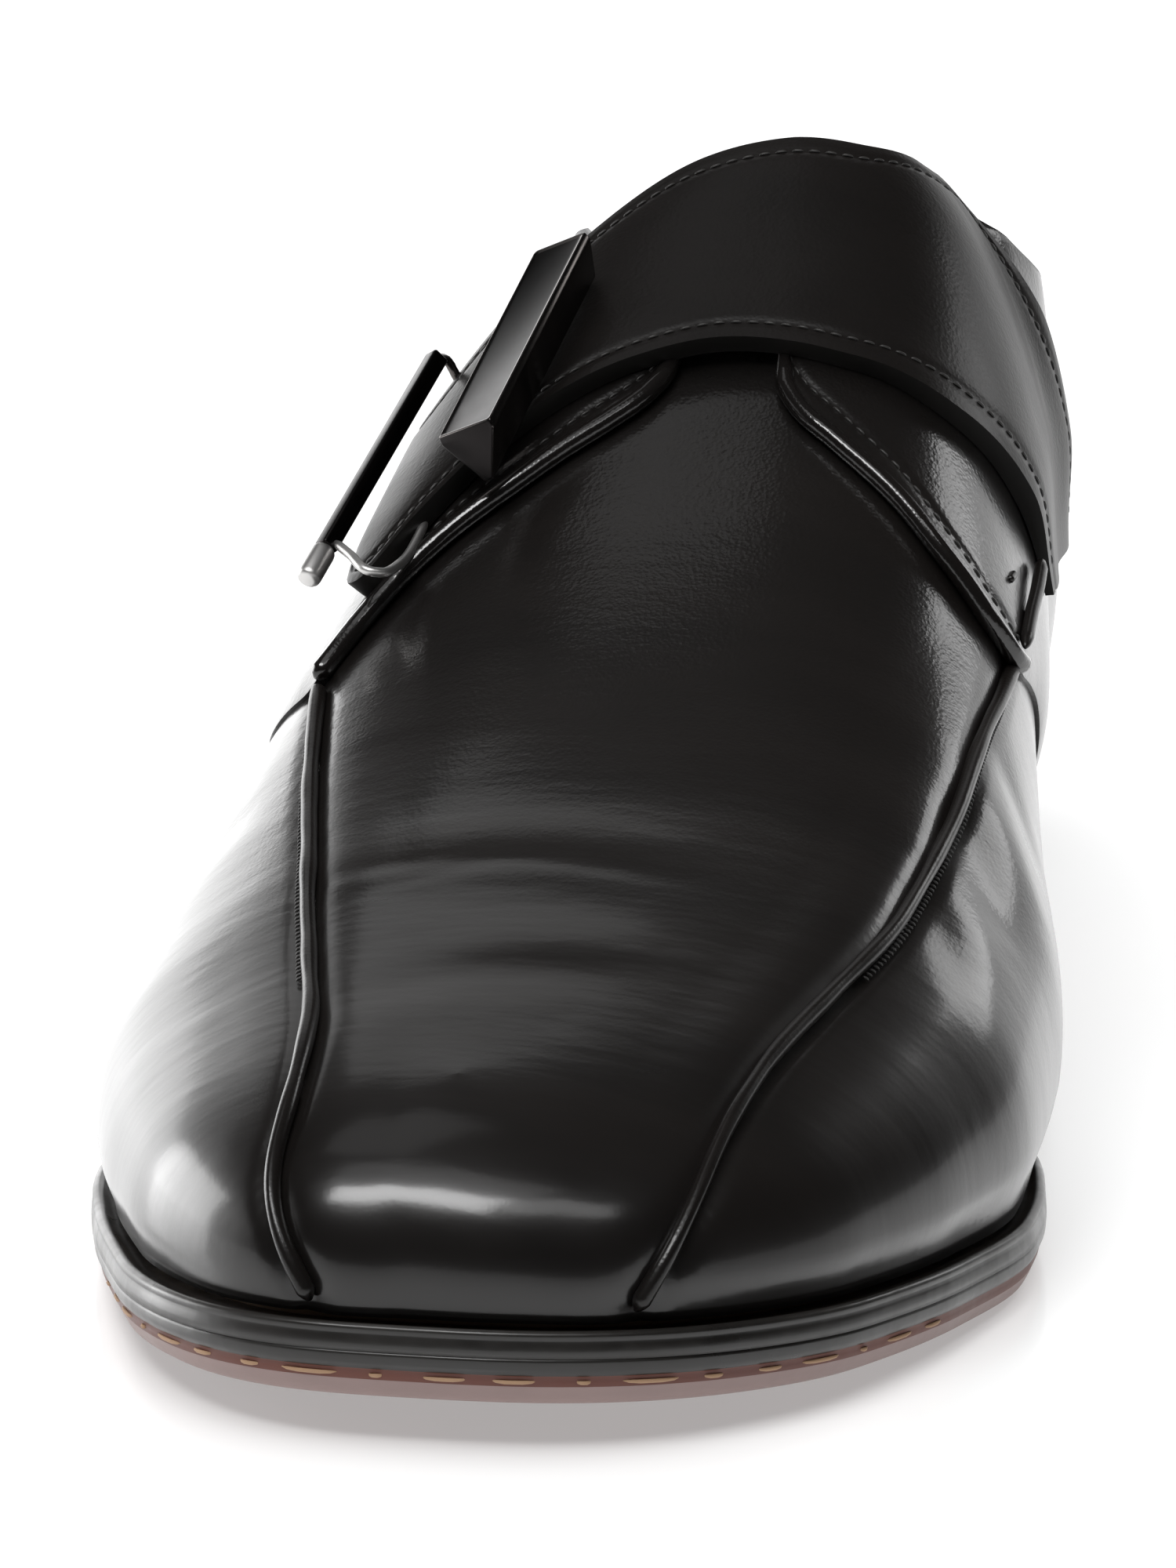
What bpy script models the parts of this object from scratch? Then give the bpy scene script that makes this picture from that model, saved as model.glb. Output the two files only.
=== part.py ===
# Right shoe of a pair: black leather slip-on with a buckled strap over the instep.
# Toe towards -Y, heel towards +Y, lateral side towards -X. Tables are in millimetres.
import bpy
import bmesh
import numpy as np
from collections import namedtuple
from math import pi
from mathutils import Matrix, Vector

MM = 0.001
LENGTH = 298.0            # outsole, heel to toe
MIDDLE_X = 2.0            # middle of the shoe's box, moved to the origin
MIDDLE_Y = 0.5
CLEAR = 0.3               # gap between pieces that meet
PANEL_CLEAR = 0.55        # gap under the curved outer panels
TONGUE_CLEAR = 1.0        # the tongue lies loose under the wall
INSOLE_CLEAR = 0.7
WALL = 2.0                # upper leather with its lining
WELT = 2.4
WELT_STEP = 0.7           # welt stands proud of the outsole edge
OUTSOLE = 4.9
INSOLE_OVER_SEAT = 2.6
INSIDE_HEIGHT = 45.0      # a line inside the shoe, short of toe and heel
INSIDE_SHARE = 0.85
TOP_LIFT = 6.0
HEEL_BREAST = 74.0        # station of the heel's front face
HEEL_INSET = 1.2
OUTSOLE_EDGE = 0.9        # widths of the broken edges
WELT_EDGE = 0.6
HEEL_EDGE = 0.5
INSOLE_EDGE = 0.5
QUARTER = 1.2             # thickness of the outer panels
SEAM_HEIGHT = 1.1
SEAM_WIDTH = 2.4
SEAM_CROWN = 0.75         # height of the bead's flat top as a share of the seam height
SEAM_TOP = 0.55           # its width as a share of the seam width
SEAM_SMOOTHING = 24       # passes that take the corners out of the seam's table
STRAP = 2.4
STRAP_TOP = PANEL_CLEAR + QUARTER + PANEL_CLEAR + STRAP
TONGUE = 2.0
BACK_SEAM = 0.9985        # run where a quarter ends beside the back seam
QUARTER_FOOT = 2.2        # lower edge of the quarters above the welt
QUARTER_SPACING = ((0.0, 0.5, 1.0), (0.0, 0.30, 1.0))   # half of the columns in the front third
PLATE_SAG = 0.6           # the strap's crown under the straight plate

# Station is the distance from the back of the heel; seat is the height of the welt's top.
SoleRow = namedtuple("SoleRow", "station lateral medial seat margin")
SOLE_ROWS = [
    SoleRow(0, 33.0, 32.0, 27.6, 2.0),
    SoleRow(30, 33.5, 32.0, 27.6, 2.0),
    SoleRow(58, 34.0, 31.5, 27.2, 2.0),
    SoleRow(90, 33.5, 30.0, 22.6, 2.2),
    SoleRow(120, 35.5, 31.0, 16.4, 2.4),
    SoleRow(150, 40.5, 37.0, 10.8, 2.8),
    SoleRow(182, 46.0, 45.5, 7.6, 3.0),
    SoleRow(212, 48.5, 52.5, 7.6, 3.0),
    SoleRow(232, 47.0, 52.5, 8.0, 3.0),
    SoleRow(252, 42.0, 48.5, 8.9, 3.0),
    SoleRow(272, 34.5, 42.0, 10.2, 3.0),
    SoleRow(286, 29.0, 36.0, 11.4, 3.0),
    SoleRow(298, 25.0, 31.0, 12.6, 3.0),
]
HEEL_ROUND = (33.0, 2.15)   # length of the rounding and its power
TOE_ROUND = (30.0, 2.8)
SWING = 5.5               # the heel lies this far to the lateral side
SWING_ROWS = (30.0, 115.0)   # stations between which the shoe swings

# Each row is a column of the upper: run goes from toe centre to heel centre along the seat,
# station, x and z place its upper end on the instep ridge or on the collar edge,
# full is the power of its arch, 1 straight and 2 round, and bulge how far it overhangs the seat.
ColumnRow = namedtuple(
    "ColumnRow", "run station x_lateral x_medial z full_lateral full_medial bulge_lateral bulge_medial")
COLUMN_ROWS = [
    ColumnRow(0.000, 274, 2.5, 2.5, 33.5, 2.9, 2.9, 0.4, 0.4),
    ColumnRow(0.062, 270, 2.8, 2.8, 34.5, 2.7, 2.7, 0.5, 0.5),
    ColumnRow(0.130, 260, 3.4, 3.4, 37.0, 2.5, 2.6, 0.8, 0.8),
    ColumnRow(0.204, 244, 4.4, 4.4, 41.5, 2.3, 2.5, 1.5, 1.5),
    ColumnRow(0.293, 218, 6.2, 6.2, 50.0, 2.3, 2.5, 2.2, 2.5),
    ColumnRow(0.396, 185, 8.6, 8.6, 64.5, 2.5, 2.6, 3.0, 5.0),
    ColumnRow(0.500, 150, 10.0, 10.0, 86.0, 2.6, 2.5, 2.2, 8.0),
    ColumnRow(0.583, 122, 9.0, 9.0, 103.5, 2.05, 2.15, 3.0, 10.0),
    ColumnRow(0.625, 113, -8.0, 25.0, 98.0, 1.75, 1.75, 3.8, 9.5),
    ColumnRow(0.675, 102, -21.0, 32.0, 86.5, 1.6, 1.6, 4.5, 7.5),
    ColumnRow(0.730, 84, -26.5, 31.5, 77.5, 1.35, 1.35, 5.0, 6.5),
    ColumnRow(0.800, 60, -27.5, 27.5, 73.0, 1.2, 1.2, 5.0, 5.5),
    ColumnRow(0.870, 34, -24.0, 23.0, 74.5, 1.15, 1.15, 4.8, 4.8),
    ColumnRow(0.935, 15, -14.5, 14.0, 77.5, 1.15, 1.15, 4.2, 4.2),
    ColumnRow(0.968, 9.0, -7.4, 7.2, 78.9, 1.15, 1.15, 4.0, 4.0),
    ColumnRow(1.000, 7, 0.0, 0.0, 79.4, 1.15, 1.15, 4.0, 4.0),
]
NORMAL_STEP = 0.004       # step in run and across for the surface's normal
NEAR_RIDGE = 0.0001
TUCK = 0.5                # share of a column's height below which it draws in to the seat
RIDGE_END = 0.583         # run of the tongue's top, where the ridge ends
RIDGE_FADE = 0.09         # the ridge's slope dies out over this much run
COLLAR_FRONT = 0.64       # columns stand closer from the throat to here

# The throat: how high each column of the upper's wall reaches behind the vamp.
EdgeRow = namedtuple("EdgeRow", "run rise")
THROAT_START = 0.500
THROAT_ROWS = [
    EdgeRow(0.500, 0.995),
    EdgeRow(0.515, 0.945),
    EdgeRow(0.545, 0.87),
    EdgeRow(0.583, 0.81),
    EdgeRow(0.630, 0.81),
    EdgeRow(0.680, 0.90),
    EdgeRow(0.740, 0.99),
    EdgeRow(0.790, 1.0),
    EdgeRow(1.000, 1.0),
]

# Raised seams of the plug, from the seat at the toe to the corner of the throat.
SEAM_LATERAL = [
    EdgeRow(0.024, 0.02),
    EdgeRow(0.036, 0.25),
    EdgeRow(0.066, 0.55),
    EdgeRow(0.142, 0.685),
    EdgeRow(0.228, 0.677),
    EdgeRow(0.320, 0.585),
    EdgeRow(0.374, 0.525),
]
SEAM_MEDIAL = [
    EdgeRow(0.070, 0.02),
    EdgeRow(0.090, 0.30),
    EdgeRow(0.126, 0.53),
    EdgeRow(0.188, 0.597),
    EdgeRow(0.268, 0.585),
    EdgeRow(0.344, 0.541),
    EdgeRow(0.452, 0.385),
]

# Front edge of each quarter panel, from the seat at the waist to the top of the facing.
QUARTER_LATERAL = [
    EdgeRow(0.500, 0.02),
    EdgeRow(0.440, 0.22),
    EdgeRow(0.400, 0.40),
    EdgeRow(0.387, 0.52),
    EdgeRow(0.404, 0.58),
    EdgeRow(0.417, 0.63),
    EdgeRow(0.428, 0.69),
    EdgeRow(0.438, 0.76),
    EdgeRow(0.450, 0.826),
    EdgeRow(0.460, 0.874),
    EdgeRow(0.470, 0.914),
]
QUARTER_MEDIAL = [
    EdgeRow(0.565, 0.02),
    EdgeRow(0.520, 0.18),
    EdgeRow(0.482, 0.30),
    EdgeRow(0.460, 0.37),
    EdgeRow(0.446, 0.44),
    EdgeRow(0.440, 0.53),
    EdgeRow(0.441, 0.62),
    EdgeRow(0.448, 0.74),
    EdgeRow(0.458, 0.87),
    EdgeRow(0.474, 0.96),
]
# Top edge of each quarter from the facing under the strap to the collar.
QUARTER_TOP = {
    "lateral": [
        EdgeRow(0.470, 0.914),
        EdgeRow(0.530, 0.77),
        EdgeRow(0.583, 0.72),
        EdgeRow(0.630, 0.76),
        EdgeRow(0.680, 0.885),
        EdgeRow(0.740, 0.97),
        EdgeRow(0.790, 0.985),
        EdgeRow(1.000, 0.985),
    ],
    "medial": [
        EdgeRow(0.474, 0.96),
        EdgeRow(0.530, 0.87),
        EdgeRow(0.583, 0.795),
        EdgeRow(0.630, 0.78),
        EdgeRow(0.680, 0.865),
        EdgeRow(0.740, 0.97),
        EdgeRow(0.790, 0.985),
        EdgeRow(1.000, 0.985),
    ],
}

# The strap: across runs from -1 at the lateral seat over 0 at the ridge to 1 at the medial seat.
StrapRow = namedtuple("StrapRow", "across front back")
STRAP_ROWS = [
    StrapRow(-0.45, 0.411, 0.497),
    StrapRow(-0.41, 0.413, 0.505),
    StrapRow(-0.35, 0.431, 0.517),
    StrapRow(-0.23, 0.460, 0.536),
    StrapRow(-0.10, 0.477, 0.553),
    StrapRow(0.00, 0.484, 0.559),
    StrapRow(0.10, 0.484, 0.563),
    StrapRow(0.22, 0.487, 0.580),
    StrapRow(0.34, 0.492, 0.612),
    StrapRow(0.53, 0.512, 0.636),
    StrapRow(0.70, 0.536, 0.648),
]
STRAP_END_HEIGHT = 54.0   # of the strap's medial end above the floor
TONGUE_FRONT = 0.475
TONGUE_TIP = ((2.5, 0.72), (4.6, 0.40))   # steps past the ridge and the share of its width left
TONGUE_SIDE = 0.72        # rise of the tongue's side edges, under the quarters

# The keeper plate over the strap and the frame beside it: places as run and across.
PLATE_SIZE = (31.0, 7.6, 5.4)
PLATE_ENDS = ((0.438, -0.246), (0.514, -0.206))
FRAME_ENDS = ((0.424, -0.435), (0.496, -0.379))
FRAME_REACH = 6.0         # from the outer bar back to the bar by the plate
FRAME_WIRE = 1.15         # radius
FRAME_LIFT = 2.6          # outer bar above the strap
PIN_RADIUS = 1.3
PIN_LENGTH = 5.2
PIN_EDGE = 0.35
PLATE_EDGE = 0.7
BEVEL_ANGLE = 40.0
FRAME_CORNER = 2.4        # radius of its rounded corners


def curve_through(knots, values):
    # Smooth curve through table values that never overshoots between two rows.
    knots = np.asarray(knots, float)
    values = np.asarray(values, float)
    steps = np.diff(knots)
    rises = np.diff(values) / steps
    slopes = np.concatenate([rises[:1], np.zeros(len(knots) - 2), rises[-1:]])
    for i in range(1, len(knots) - 1):
        if rises[i - 1] * rises[i] > 0:
            before = 2 * steps[i] + steps[i - 1]
            after = steps[i] + 2 * steps[i - 1]
            slopes[i] = (before + after) / (before / rises[i - 1] + after / rises[i])

    def value(at):
        at = np.clip(np.asarray(at, float), knots[0], knots[-1])
        i = np.clip(np.searchsorted(knots, at) - 1, 0, len(steps) - 1)
        t = (at - knots[i]) / steps[i]
        rest = 1 - t
        ends = values[i] * rest ** 2 * (1 + 2 * t) + values[i + 1] * t ** 2 * (3 - 2 * t)
        return ends + steps[i] * (slopes[i] * t * rest ** 2 - slopes[i + 1] * t ** 2 * rest)

    return value


def table_curve(rows, key, column):
    return curve_through([getattr(row, key) for row in rows], [getattr(row, column) for row in rows])


seat_height = table_curve(SOLE_ROWS, "station", "seat")
margin_at = table_curve(SOLE_ROWS, "station", "margin")
half_width = {side: table_curve(SOLE_ROWS, "station", side) for side in ("lateral", "medial")}
SIGN = {"lateral": -1.0, "medial": 1.0}


def swing(station):
    # Sideways offset of the shoe's middle line.
    t = np.clip((SWING_ROWS[1] - station) / (SWING_ROWS[1] - SWING_ROWS[0]), 0, 1)
    return -SWING * t * t * (3 - 2 * t)


def rounding(distance, length, power):
    # Share of the half width left near the round end of the sole.
    t = np.clip(1 - distance / length, 0, 1)
    return (1 - t ** power) ** (1 / power)


def sole_half(side, station):
    heel = rounding(station, *HEEL_ROUND)
    toe = rounding(LENGTH - station, *TOE_ROUND)
    return half_width[side](station) * heel * toe


def end_spaced(first, last, count):
    # Stations that crowd towards both round ends.
    angle = np.linspace(0, pi, count)
    return first + (last - first) * (1 - np.cos(angle)) / 2


def side_line(side, inset):
    # Plan line of one side from toe centre to heel centre, moved in by the inset.
    station = end_spaced(LENGTH, 0.0, 400)
    x = sole_half(side, station)
    dx = np.gradient(x)
    ds = np.gradient(station)
    size = np.hypot(dx, ds)
    out_x = -ds / size
    out_s = dx / size
    amount = inset(station) if callable(inset) else inset
    x = np.maximum(x - out_x * amount, 0.0)
    station = station - out_s * amount
    x[0] = x[-1] = 0.0
    run = np.concatenate([[0.0], np.cumsum(np.hypot(np.diff(x), np.diff(station)))])
    return run / run[-1], x, station, out_x, out_s


base_line = {side: side_line(side, margin_at) for side in SIGN}
column_curve = {name: table_curve(COLUMN_ROWS, "run", name) for name in ColumnRow._fields[1:]}
RIDGE_ROWS = [row for row in COLUMN_ROWS if row.run <= RIDGE_END]
ridge_height = curve_through([row.station for row in RIDGE_ROWS][::-1], [row.z for row in RIDGE_ROWS][::-1])


def ridge_slope(run):
    # Fall of the ridge per millimetre towards the toe; none along the collar.
    station = np.minimum(column_curve["station"](run), RIDGE_ROWS[0].station - 1.0)
    slope = (ridge_height(station + 1.0) - ridge_height(station - 1.0)) / 2.0
    return slope * np.clip((RIDGE_END + RIDGE_FADE - run) / RIDGE_FADE, 0, 1)


def last_side(side, run, rise):
    # Point of the upper's outer face: rise goes from 0 at the seat to 1 at the ridge or collar.
    line_run, line_x, line_s, line_ox, line_os = base_line[side]
    base_x = np.interp(run, line_run, line_x)
    base_s = np.interp(run, line_run, line_s)
    out_x = np.interp(run, line_run, line_ox)
    out_s = np.interp(run, line_run, line_os)
    base_z = seat_height(base_s) + CLEAR
    top_x = column_curve["x_" + side](run) * SIGN[side]
    top_s = column_curve["station"](run)
    top_z = column_curve["z"](run)
    full = column_curve["full_" + side](run)
    angle = np.clip(rise, 0, 1) * pi / 2
    share = np.cos(angle).clip(0, 1) ** (2 / full)
    lift = np.sin(angle).clip(0, 1) ** (2 / full)
    swell = column_curve["bulge_" + side](run) * share * np.sin(np.minimum(lift / TUCK, 1) * pi / 2)
    x = top_x + (base_x - top_x) * share + out_x * swell
    s = top_s + (base_s - top_s) * share + out_s * swell
    slope = ridge_slope(run)
    fall = top_z + slope * (base_s - top_s) - base_z
    z = top_z + slope * (s - top_s) - fall * (1 - lift)
    return np.stack([x * SIGN[side] + swing(s), LENGTH / 2 - s, z], axis=-1)


def last_surface(run, across, lift=0.0):
    # Point over the upper, lifted along the normal; across is -1 lateral, 0 ridge, 1 medial.
    run, across = np.broadcast_arrays(np.asarray(run, float), np.asarray(across, float))

    def place(u, v):
        rise = 1 - np.abs(v)
        left = last_side("lateral", u, rise)
        right = last_side("medial", u, rise)
        return np.where((v < 0)[..., None], left, right)

    point = place(run, across)
    if np.all(np.asarray(lift) == 0):
        return point
    step = NORMAL_STEP
    low = np.where(across < 0, np.minimum(across + step, -NEAR_RIDGE), across - step)
    low = np.where((across >= 0) & (low < 0) & (run > RIDGE_END), NEAR_RIDGE, low)
    high = np.where(across < 0, across - step, across + step)
    high = np.clip(high, -1, 1)
    along = place(np.clip(run + step, 0, 1), across) - place(np.clip(run - step, 0, 1), across)
    over = place(run, high) - place(run, low)
    over = np.where((across < 0)[..., None], -over, over)
    normal = np.cross(over, along)
    normal = normal / np.maximum(np.linalg.norm(normal, axis=-1, keepdims=True), 1e-9)
    return point + normal * np.asarray(lift)[..., None]


def clear_scene():
    for thing in list(bpy.data.objects):
        bpy.data.objects.remove(thing, do_unlink=True)


def new_material(name, colour, roughness, metallic=0.0):
    material = bpy.data.materials.new(name)
    material.use_nodes = True
    shader = material.node_tree.nodes["Principled BSDF"]
    shader.inputs["Base Color"].default_value = (*colour, 1.0)
    shader.inputs["Roughness"].default_value = roughness
    shader.inputs["Metallic"].default_value = metallic
    return material


def add_mesh(name, points, faces, material):
    mesh = bpy.data.meshes.new(name)
    mesh.from_pydata([tuple(p) for p in np.asarray(points) * MM], [], faces)
    mesh.update()
    piece = bpy.data.objects.new(name, mesh)
    shoe.objects.link(piece)
    mesh.materials.append(material)
    return piece


def weld(piece, distance=0.00002):
    body = bmesh.new()
    body.from_mesh(piece.data)
    bmesh.ops.remove_doubles(body, verts=body.verts, dist=distance)
    bmesh.ops.recalc_face_normals(body, faces=body.faces)
    body.to_mesh(piece.data)
    body.free()


def grid_faces(rows, columns, closed=False):
    faces = []
    for i in range(rows - 1):
        for j in range(columns - (0 if closed else 1)):
            k = (j + 1) % columns
            faces.append((i * columns + j, i * columns + k, (i + 1) * columns + k, (i + 1) * columns + j))
    return faces


def solidify(piece, thickness):
    # Thickness grows inwards from the faces.
    wall = piece.modifiers.new("wall", "SOLIDIFY")
    wall.thickness = thickness * MM
    wall.offset = -1.0


def bevel(piece, width, segments=2):
    edge = piece.modifiers.new("edge", "BEVEL")
    edge.width = width * MM
    edge.segments = segments
    edge.limit_method = "ANGLE"
    edge.angle_limit = np.radians(BEVEL_ANGLE)


def slab(name, stations, lateral, medial, top, bottom, material, across=5):
    # Closed layer of the sole between two heights, station by station.
    share = np.linspace(0, 1, across)
    points = []
    for height in (top, bottom):
        for s in stations:
            for t in share:
                x = -lateral(s) * (1 - t) + medial(s) * t + swing(s)
                points.append((x, LENGTH / 2 - s, height(s)))
    count = len(stations)
    half = count * across
    faces = grid_faces(count, across)
    faces += [tuple(half + i for i in face[::-1]) for face in grid_faces(count, across)]
    rim = [i for i in range(across)]
    rim += [i * across + across - 1 for i in range(1, count)]
    rim += [(count - 1) * across + i for i in range(across - 2, -1, -1)]
    rim += [i * across for i in range(count - 2, 0, -1)]
    for i, here in enumerate(rim):
        there = rim[(i + 1) % len(rim)]
        faces.append((there, here, here + half, there + half))
    piece = add_mesh(name, points, faces, material)
    weld(piece)
    return piece


def inset_half(side, inset):
    # Half width of the sole moved in by the inset, as a function of station.
    run, x, station, out_x, out_s = side_line(side, inset)
    order = np.argsort(station)
    return lambda s: float(np.interp(s, station[order], x[order]))


def make_sole():
    edge = {side: inset_half(side, WELT_STEP) for side in SIGN}

    def top(s):
        return float(seat_height(s)) - WELT - CLEAR

    stations = end_spaced(WELT_STEP + 0.3, LENGTH - WELT_STEP - 0.3, 32)
    outsole = slab("outsole", stations, edge["lateral"], edge["medial"],
                   top, lambda s: top(s) - OUTSOLE, sole_leather)
    bevel(outsole, OUTSOLE_EDGE, 1)

    heel = {side: inset_half(side, HEEL_INSET) for side in SIGN}
    first = HEEL_INSET + 0.3
    angle = np.linspace(0, pi / 2, 11)
    heel_stations = first + (HEEL_BREAST - first) * (1 - np.cos(angle))
    ground = float(min(row.seat for row in SOLE_ROWS)) - WELT - CLEAR - OUTSOLE
    stack = slab("heel_stack", heel_stations, heel["lateral"], heel["medial"],
                 lambda s: top(s) - OUTSOLE - CLEAR, lambda s: ground + TOP_LIFT + CLEAR, heel_leather)
    bevel(stack, HEEL_EDGE, 1)
    lift = slab("top_lift", heel_stations, heel["lateral"], heel["medial"],
                lambda s: ground + TOP_LIFT, lambda s: ground, heel_rubber)
    bevel(lift, HEEL_EDGE, 1)

    inner = {side: inset_half(side, lambda s: margin_at(s) + WALL + INSOLE_CLEAR) for side in SIGN}
    reach = float(margin_at(0)) + WALL + INSOLE_CLEAR
    toe_reach = float(margin_at(LENGTH)) + WALL + INSOLE_CLEAR
    stations = end_spaced(reach, LENGTH - toe_reach, 24)
    insole = slab("insole", stations, inner["lateral"], inner["medial"],
                  lambda s: float(seat_height(s)) + INSOLE_OVER_SEAT, lambda s: top(s) + CLEAR, lining)
    bevel(insole, INSOLE_EDGE, 1)


def make_welt():
    # Ring that carries the upper, with its inner edge flush with the inside of the wall.
    count = 32
    rings = []
    for inset in (0.0, lambda s: margin_at(s) + WALL):
        ring = []
        for side in ("lateral", "medial"):
            run, x, station, out_x, out_s = side_line(side, inset)
            share = np.linspace(0, 1, count)
            share = share if side == "lateral" else share[::-1][1:-1]
            px = np.interp(share, run, x) * SIGN[side]
            ps = np.interp(share, run, station)
            ring.append(np.stack([px + swing(ps), LENGTH / 2 - ps, seat_height(ps)], axis=-1))
        rings.append(np.concatenate(ring))
    points = np.concatenate(rings)
    piece = add_mesh("welt", points, grid_faces(len(rings), len(rings[0]), closed=True), black_edge)
    weld(piece)
    solidify(piece, WELT)
    bevel(piece, WELT_EDGE, 1)


def surface_patch(name, run, across, lift, thickness, material):
    # Sheet over the upper from a grid of run and across, thickened inwards from its lift.
    points = last_surface(run, across, np.full(run.shape, lift)).reshape(-1, 3)
    piece = add_mesh(name, points, grid_faces(*run.shape), material)
    weld(piece)
    face_up(piece)
    solidify(piece, thickness)


def face_up(piece):
    # Outer face turned away from the inside of the shoe.
    body = bmesh.new()
    body.from_mesh(piece.data)
    bmesh.ops.recalc_face_normals(body, faces=body.faces)
    votes = 0.0
    for face in body.faces:
        centre = face.calc_center_median()
        inside = Vector((0.0, centre.y * INSIDE_SHARE, INSIDE_HEIGHT * MM))
        votes += face.normal.dot((centre - inside).normalized()) * face.calc_area()
    if votes < 0:
        bmesh.ops.reverse_faces(body, faces=body.faces)
    body.to_mesh(piece.data)
    body.free()


def make_upper():
    # Columns from the toe round each side to the heel, joined along the ridge as far as the throat.
    columns = np.concatenate([
        np.linspace(0.0, THROAT_START, 22),
        np.linspace(THROAT_START, COLLAR_FRONT, 11)[1:],
        np.linspace(COLLAR_FRONT, 1.0, 15)[1:],
    ])
    rows = np.linspace(0.0, 1.0, 11)
    throat = table_curve(THROAT_ROWS, "run", "rise")
    top = np.where(columns <= THROAT_START, 1.0, throat(columns))
    points = []
    index = {}
    faces = []

    def vertex(side, i, j):
        rise = rows[j] * top[i]
        on_ridge = columns[i] <= THROAT_START and j == len(rows) - 1
        centre = i == 0 or i == len(columns) - 1
        key = ("both" if on_ridge or centre else side, i, j)
        if key not in index:
            index[key] = len(points)
            points.append(last_side(side, np.array(columns[i]), np.array(rise)))
        return index[key]

    for side in SIGN:
        for i in range(len(columns) - 1):
            for j in range(len(rows) - 1):
                corners = [vertex(side, i, j), vertex(side, i + 1, j),
                           vertex(side, i + 1, j + 1), vertex(side, i, j + 1)]
                faces.append(corners if side == "medial" else corners[::-1])
    piece = add_mesh("upper", points, faces, black_leather)
    weld(piece)
    face_up(piece)
    solidify(piece, WALL)


def make_tongue():
    # Flap inside the wall, carried past the end of the ridge by two narrowing rows.
    runs = np.linspace(TONGUE_FRONT, RIDGE_END, 9)
    share = np.linspace(-1, 1, 13)
    across = np.broadcast_to(share * (1 - TONGUE_SIDE), (len(runs), len(share)))
    run = np.broadcast_to(runs[:, None], across.shape)
    rows = last_surface(run, across, np.full(across.shape, -WALL - TONGUE_CLEAR))
    last_row = rows[-1]
    onward = last_row[len(share) // 2] - rows[-2][len(share) // 2]
    onward = onward / np.linalg.norm(onward)
    tip_rows = []
    for step, width in TONGUE_TIP:
        inner = np.stack([np.interp(share * width, share, last_row[:, k]) for k in range(3)], axis=-1)
        tip_rows.append(inner + onward * step)
    points = np.concatenate([rows.reshape(-1, 3), *tip_rows])
    piece = add_mesh("tongue", points, grid_faces(len(runs) + len(tip_rows), len(share)), black_leather)
    weld(piece)
    face_up(piece)
    solidify(piece, TONGUE)


def rise_at_height(side, run, height):
    # Rise of the point of each column that lies this far above its seat.
    station = np.interp(run, base_line[side][0], base_line[side][2])
    top = column_curve["z"](run)
    full = column_curve["full_" + side](run)
    share = height / (top - seat_height(station))
    return np.arcsin(share ** (full / 2)) * 2 / pi


def make_quarter(name, rows, side):
    # Outer panel from its front edge round to the back seam, up to the throat and the collar.
    front = curve_through([row.rise for row in rows], [row.run for row in rows])
    upper_edge = table_curve(QUARTER_TOP[side], "run", "rise")
    columns = np.interp(np.linspace(0, 1, 27), *QUARTER_SPACING)
    height, share = np.meshgrid(np.linspace(0, 1, 12), columns, indexing="ij")
    start = front(rows[0].rise + (rows[-1].rise - rows[0].rise) * height)
    run = start + (BACK_SEAM - start) * share
    low = rise_at_height(side, run, QUARTER_FOOT)
    rise = low + (upper_edge(run) - low) * height
    surface_patch(name, run, SIGN[side] * (1 - rise), PANEL_CLEAR + QUARTER, QUARTER, black_leather)


def make_strap():
    # Band over the instep; its medial end is cut level on the quarter.
    across = np.linspace(STRAP_ROWS[0].across, STRAP_ROWS[-1].across, 28)
    front = table_curve(STRAP_ROWS, "across", "front")(across)
    back = table_curve(STRAP_ROWS, "across", "back")(across)
    run = front[:, None] + (back - front)[:, None] * np.linspace(0, 1, 8)
    station = np.interp(run, base_line["medial"][0], base_line["medial"][2])
    end = 1 - rise_at_height("medial", run, STRAP_END_HEIGHT - seat_height(station))
    share = across[:, None] / STRAP_ROWS[-1].across
    wide = np.where(share > 0, share * end, np.broadcast_to(across[:, None], run.shape))
    surface_patch("strap", run, wide, STRAP_TOP, STRAP, black_leather)


def make_seam(name, rows, sign):
    # Narrow raised bead along the seam, clear of the wall below it.
    share = np.linspace(0, 1, 48)
    places = np.array([(row.run, row.rise) for row in rows])
    corners = last_surface(places[:, 0], sign * (1 - places[:, 1]))
    steps = np.linalg.norm(np.diff(corners, axis=0), axis=1)
    knots = np.concatenate([[0.0], np.cumsum(steps)]) / steps.sum()
    run = curve_through(knots, places[:, 0])(share)
    rise = curve_through(knots, places[:, 1])(share)
    for i in range(SEAM_SMOOTHING):
        run[1:-1] = (run[:-2] + 2 * run[1:-1] + run[2:]) / 4
        rise[1:-1] = (rise[:-2] + 2 * rise[1:-1] + rise[2:]) / 4
    across = sign * (1 - rise)
    low = last_surface(run, across, np.full(run.shape, CLEAR))
    high = last_surface(run, across, np.full(run.shape, CLEAR + SEAM_HEIGHT))
    along = np.gradient(low, axis=0)
    side = np.cross(along, high - low)
    side = side / np.linalg.norm(side, axis=1, keepdims=True) * SEAM_WIDTH / 2
    crown = low + (high - low) * SEAM_CROWN
    profile = [low - side, crown - side * SEAM_TOP, crown + side * SEAM_TOP, low + side]
    points = np.stack(profile, axis=1).reshape(-1, 3)
    faces = grid_faces(len(share), len(profile), closed=True)
    last = len(points) - len(profile)
    faces += [tuple(range(len(profile))), tuple(range(last + len(profile) - 1, last - 1, -1))]
    weld(add_mesh(name, points, faces, black_leather))


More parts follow.
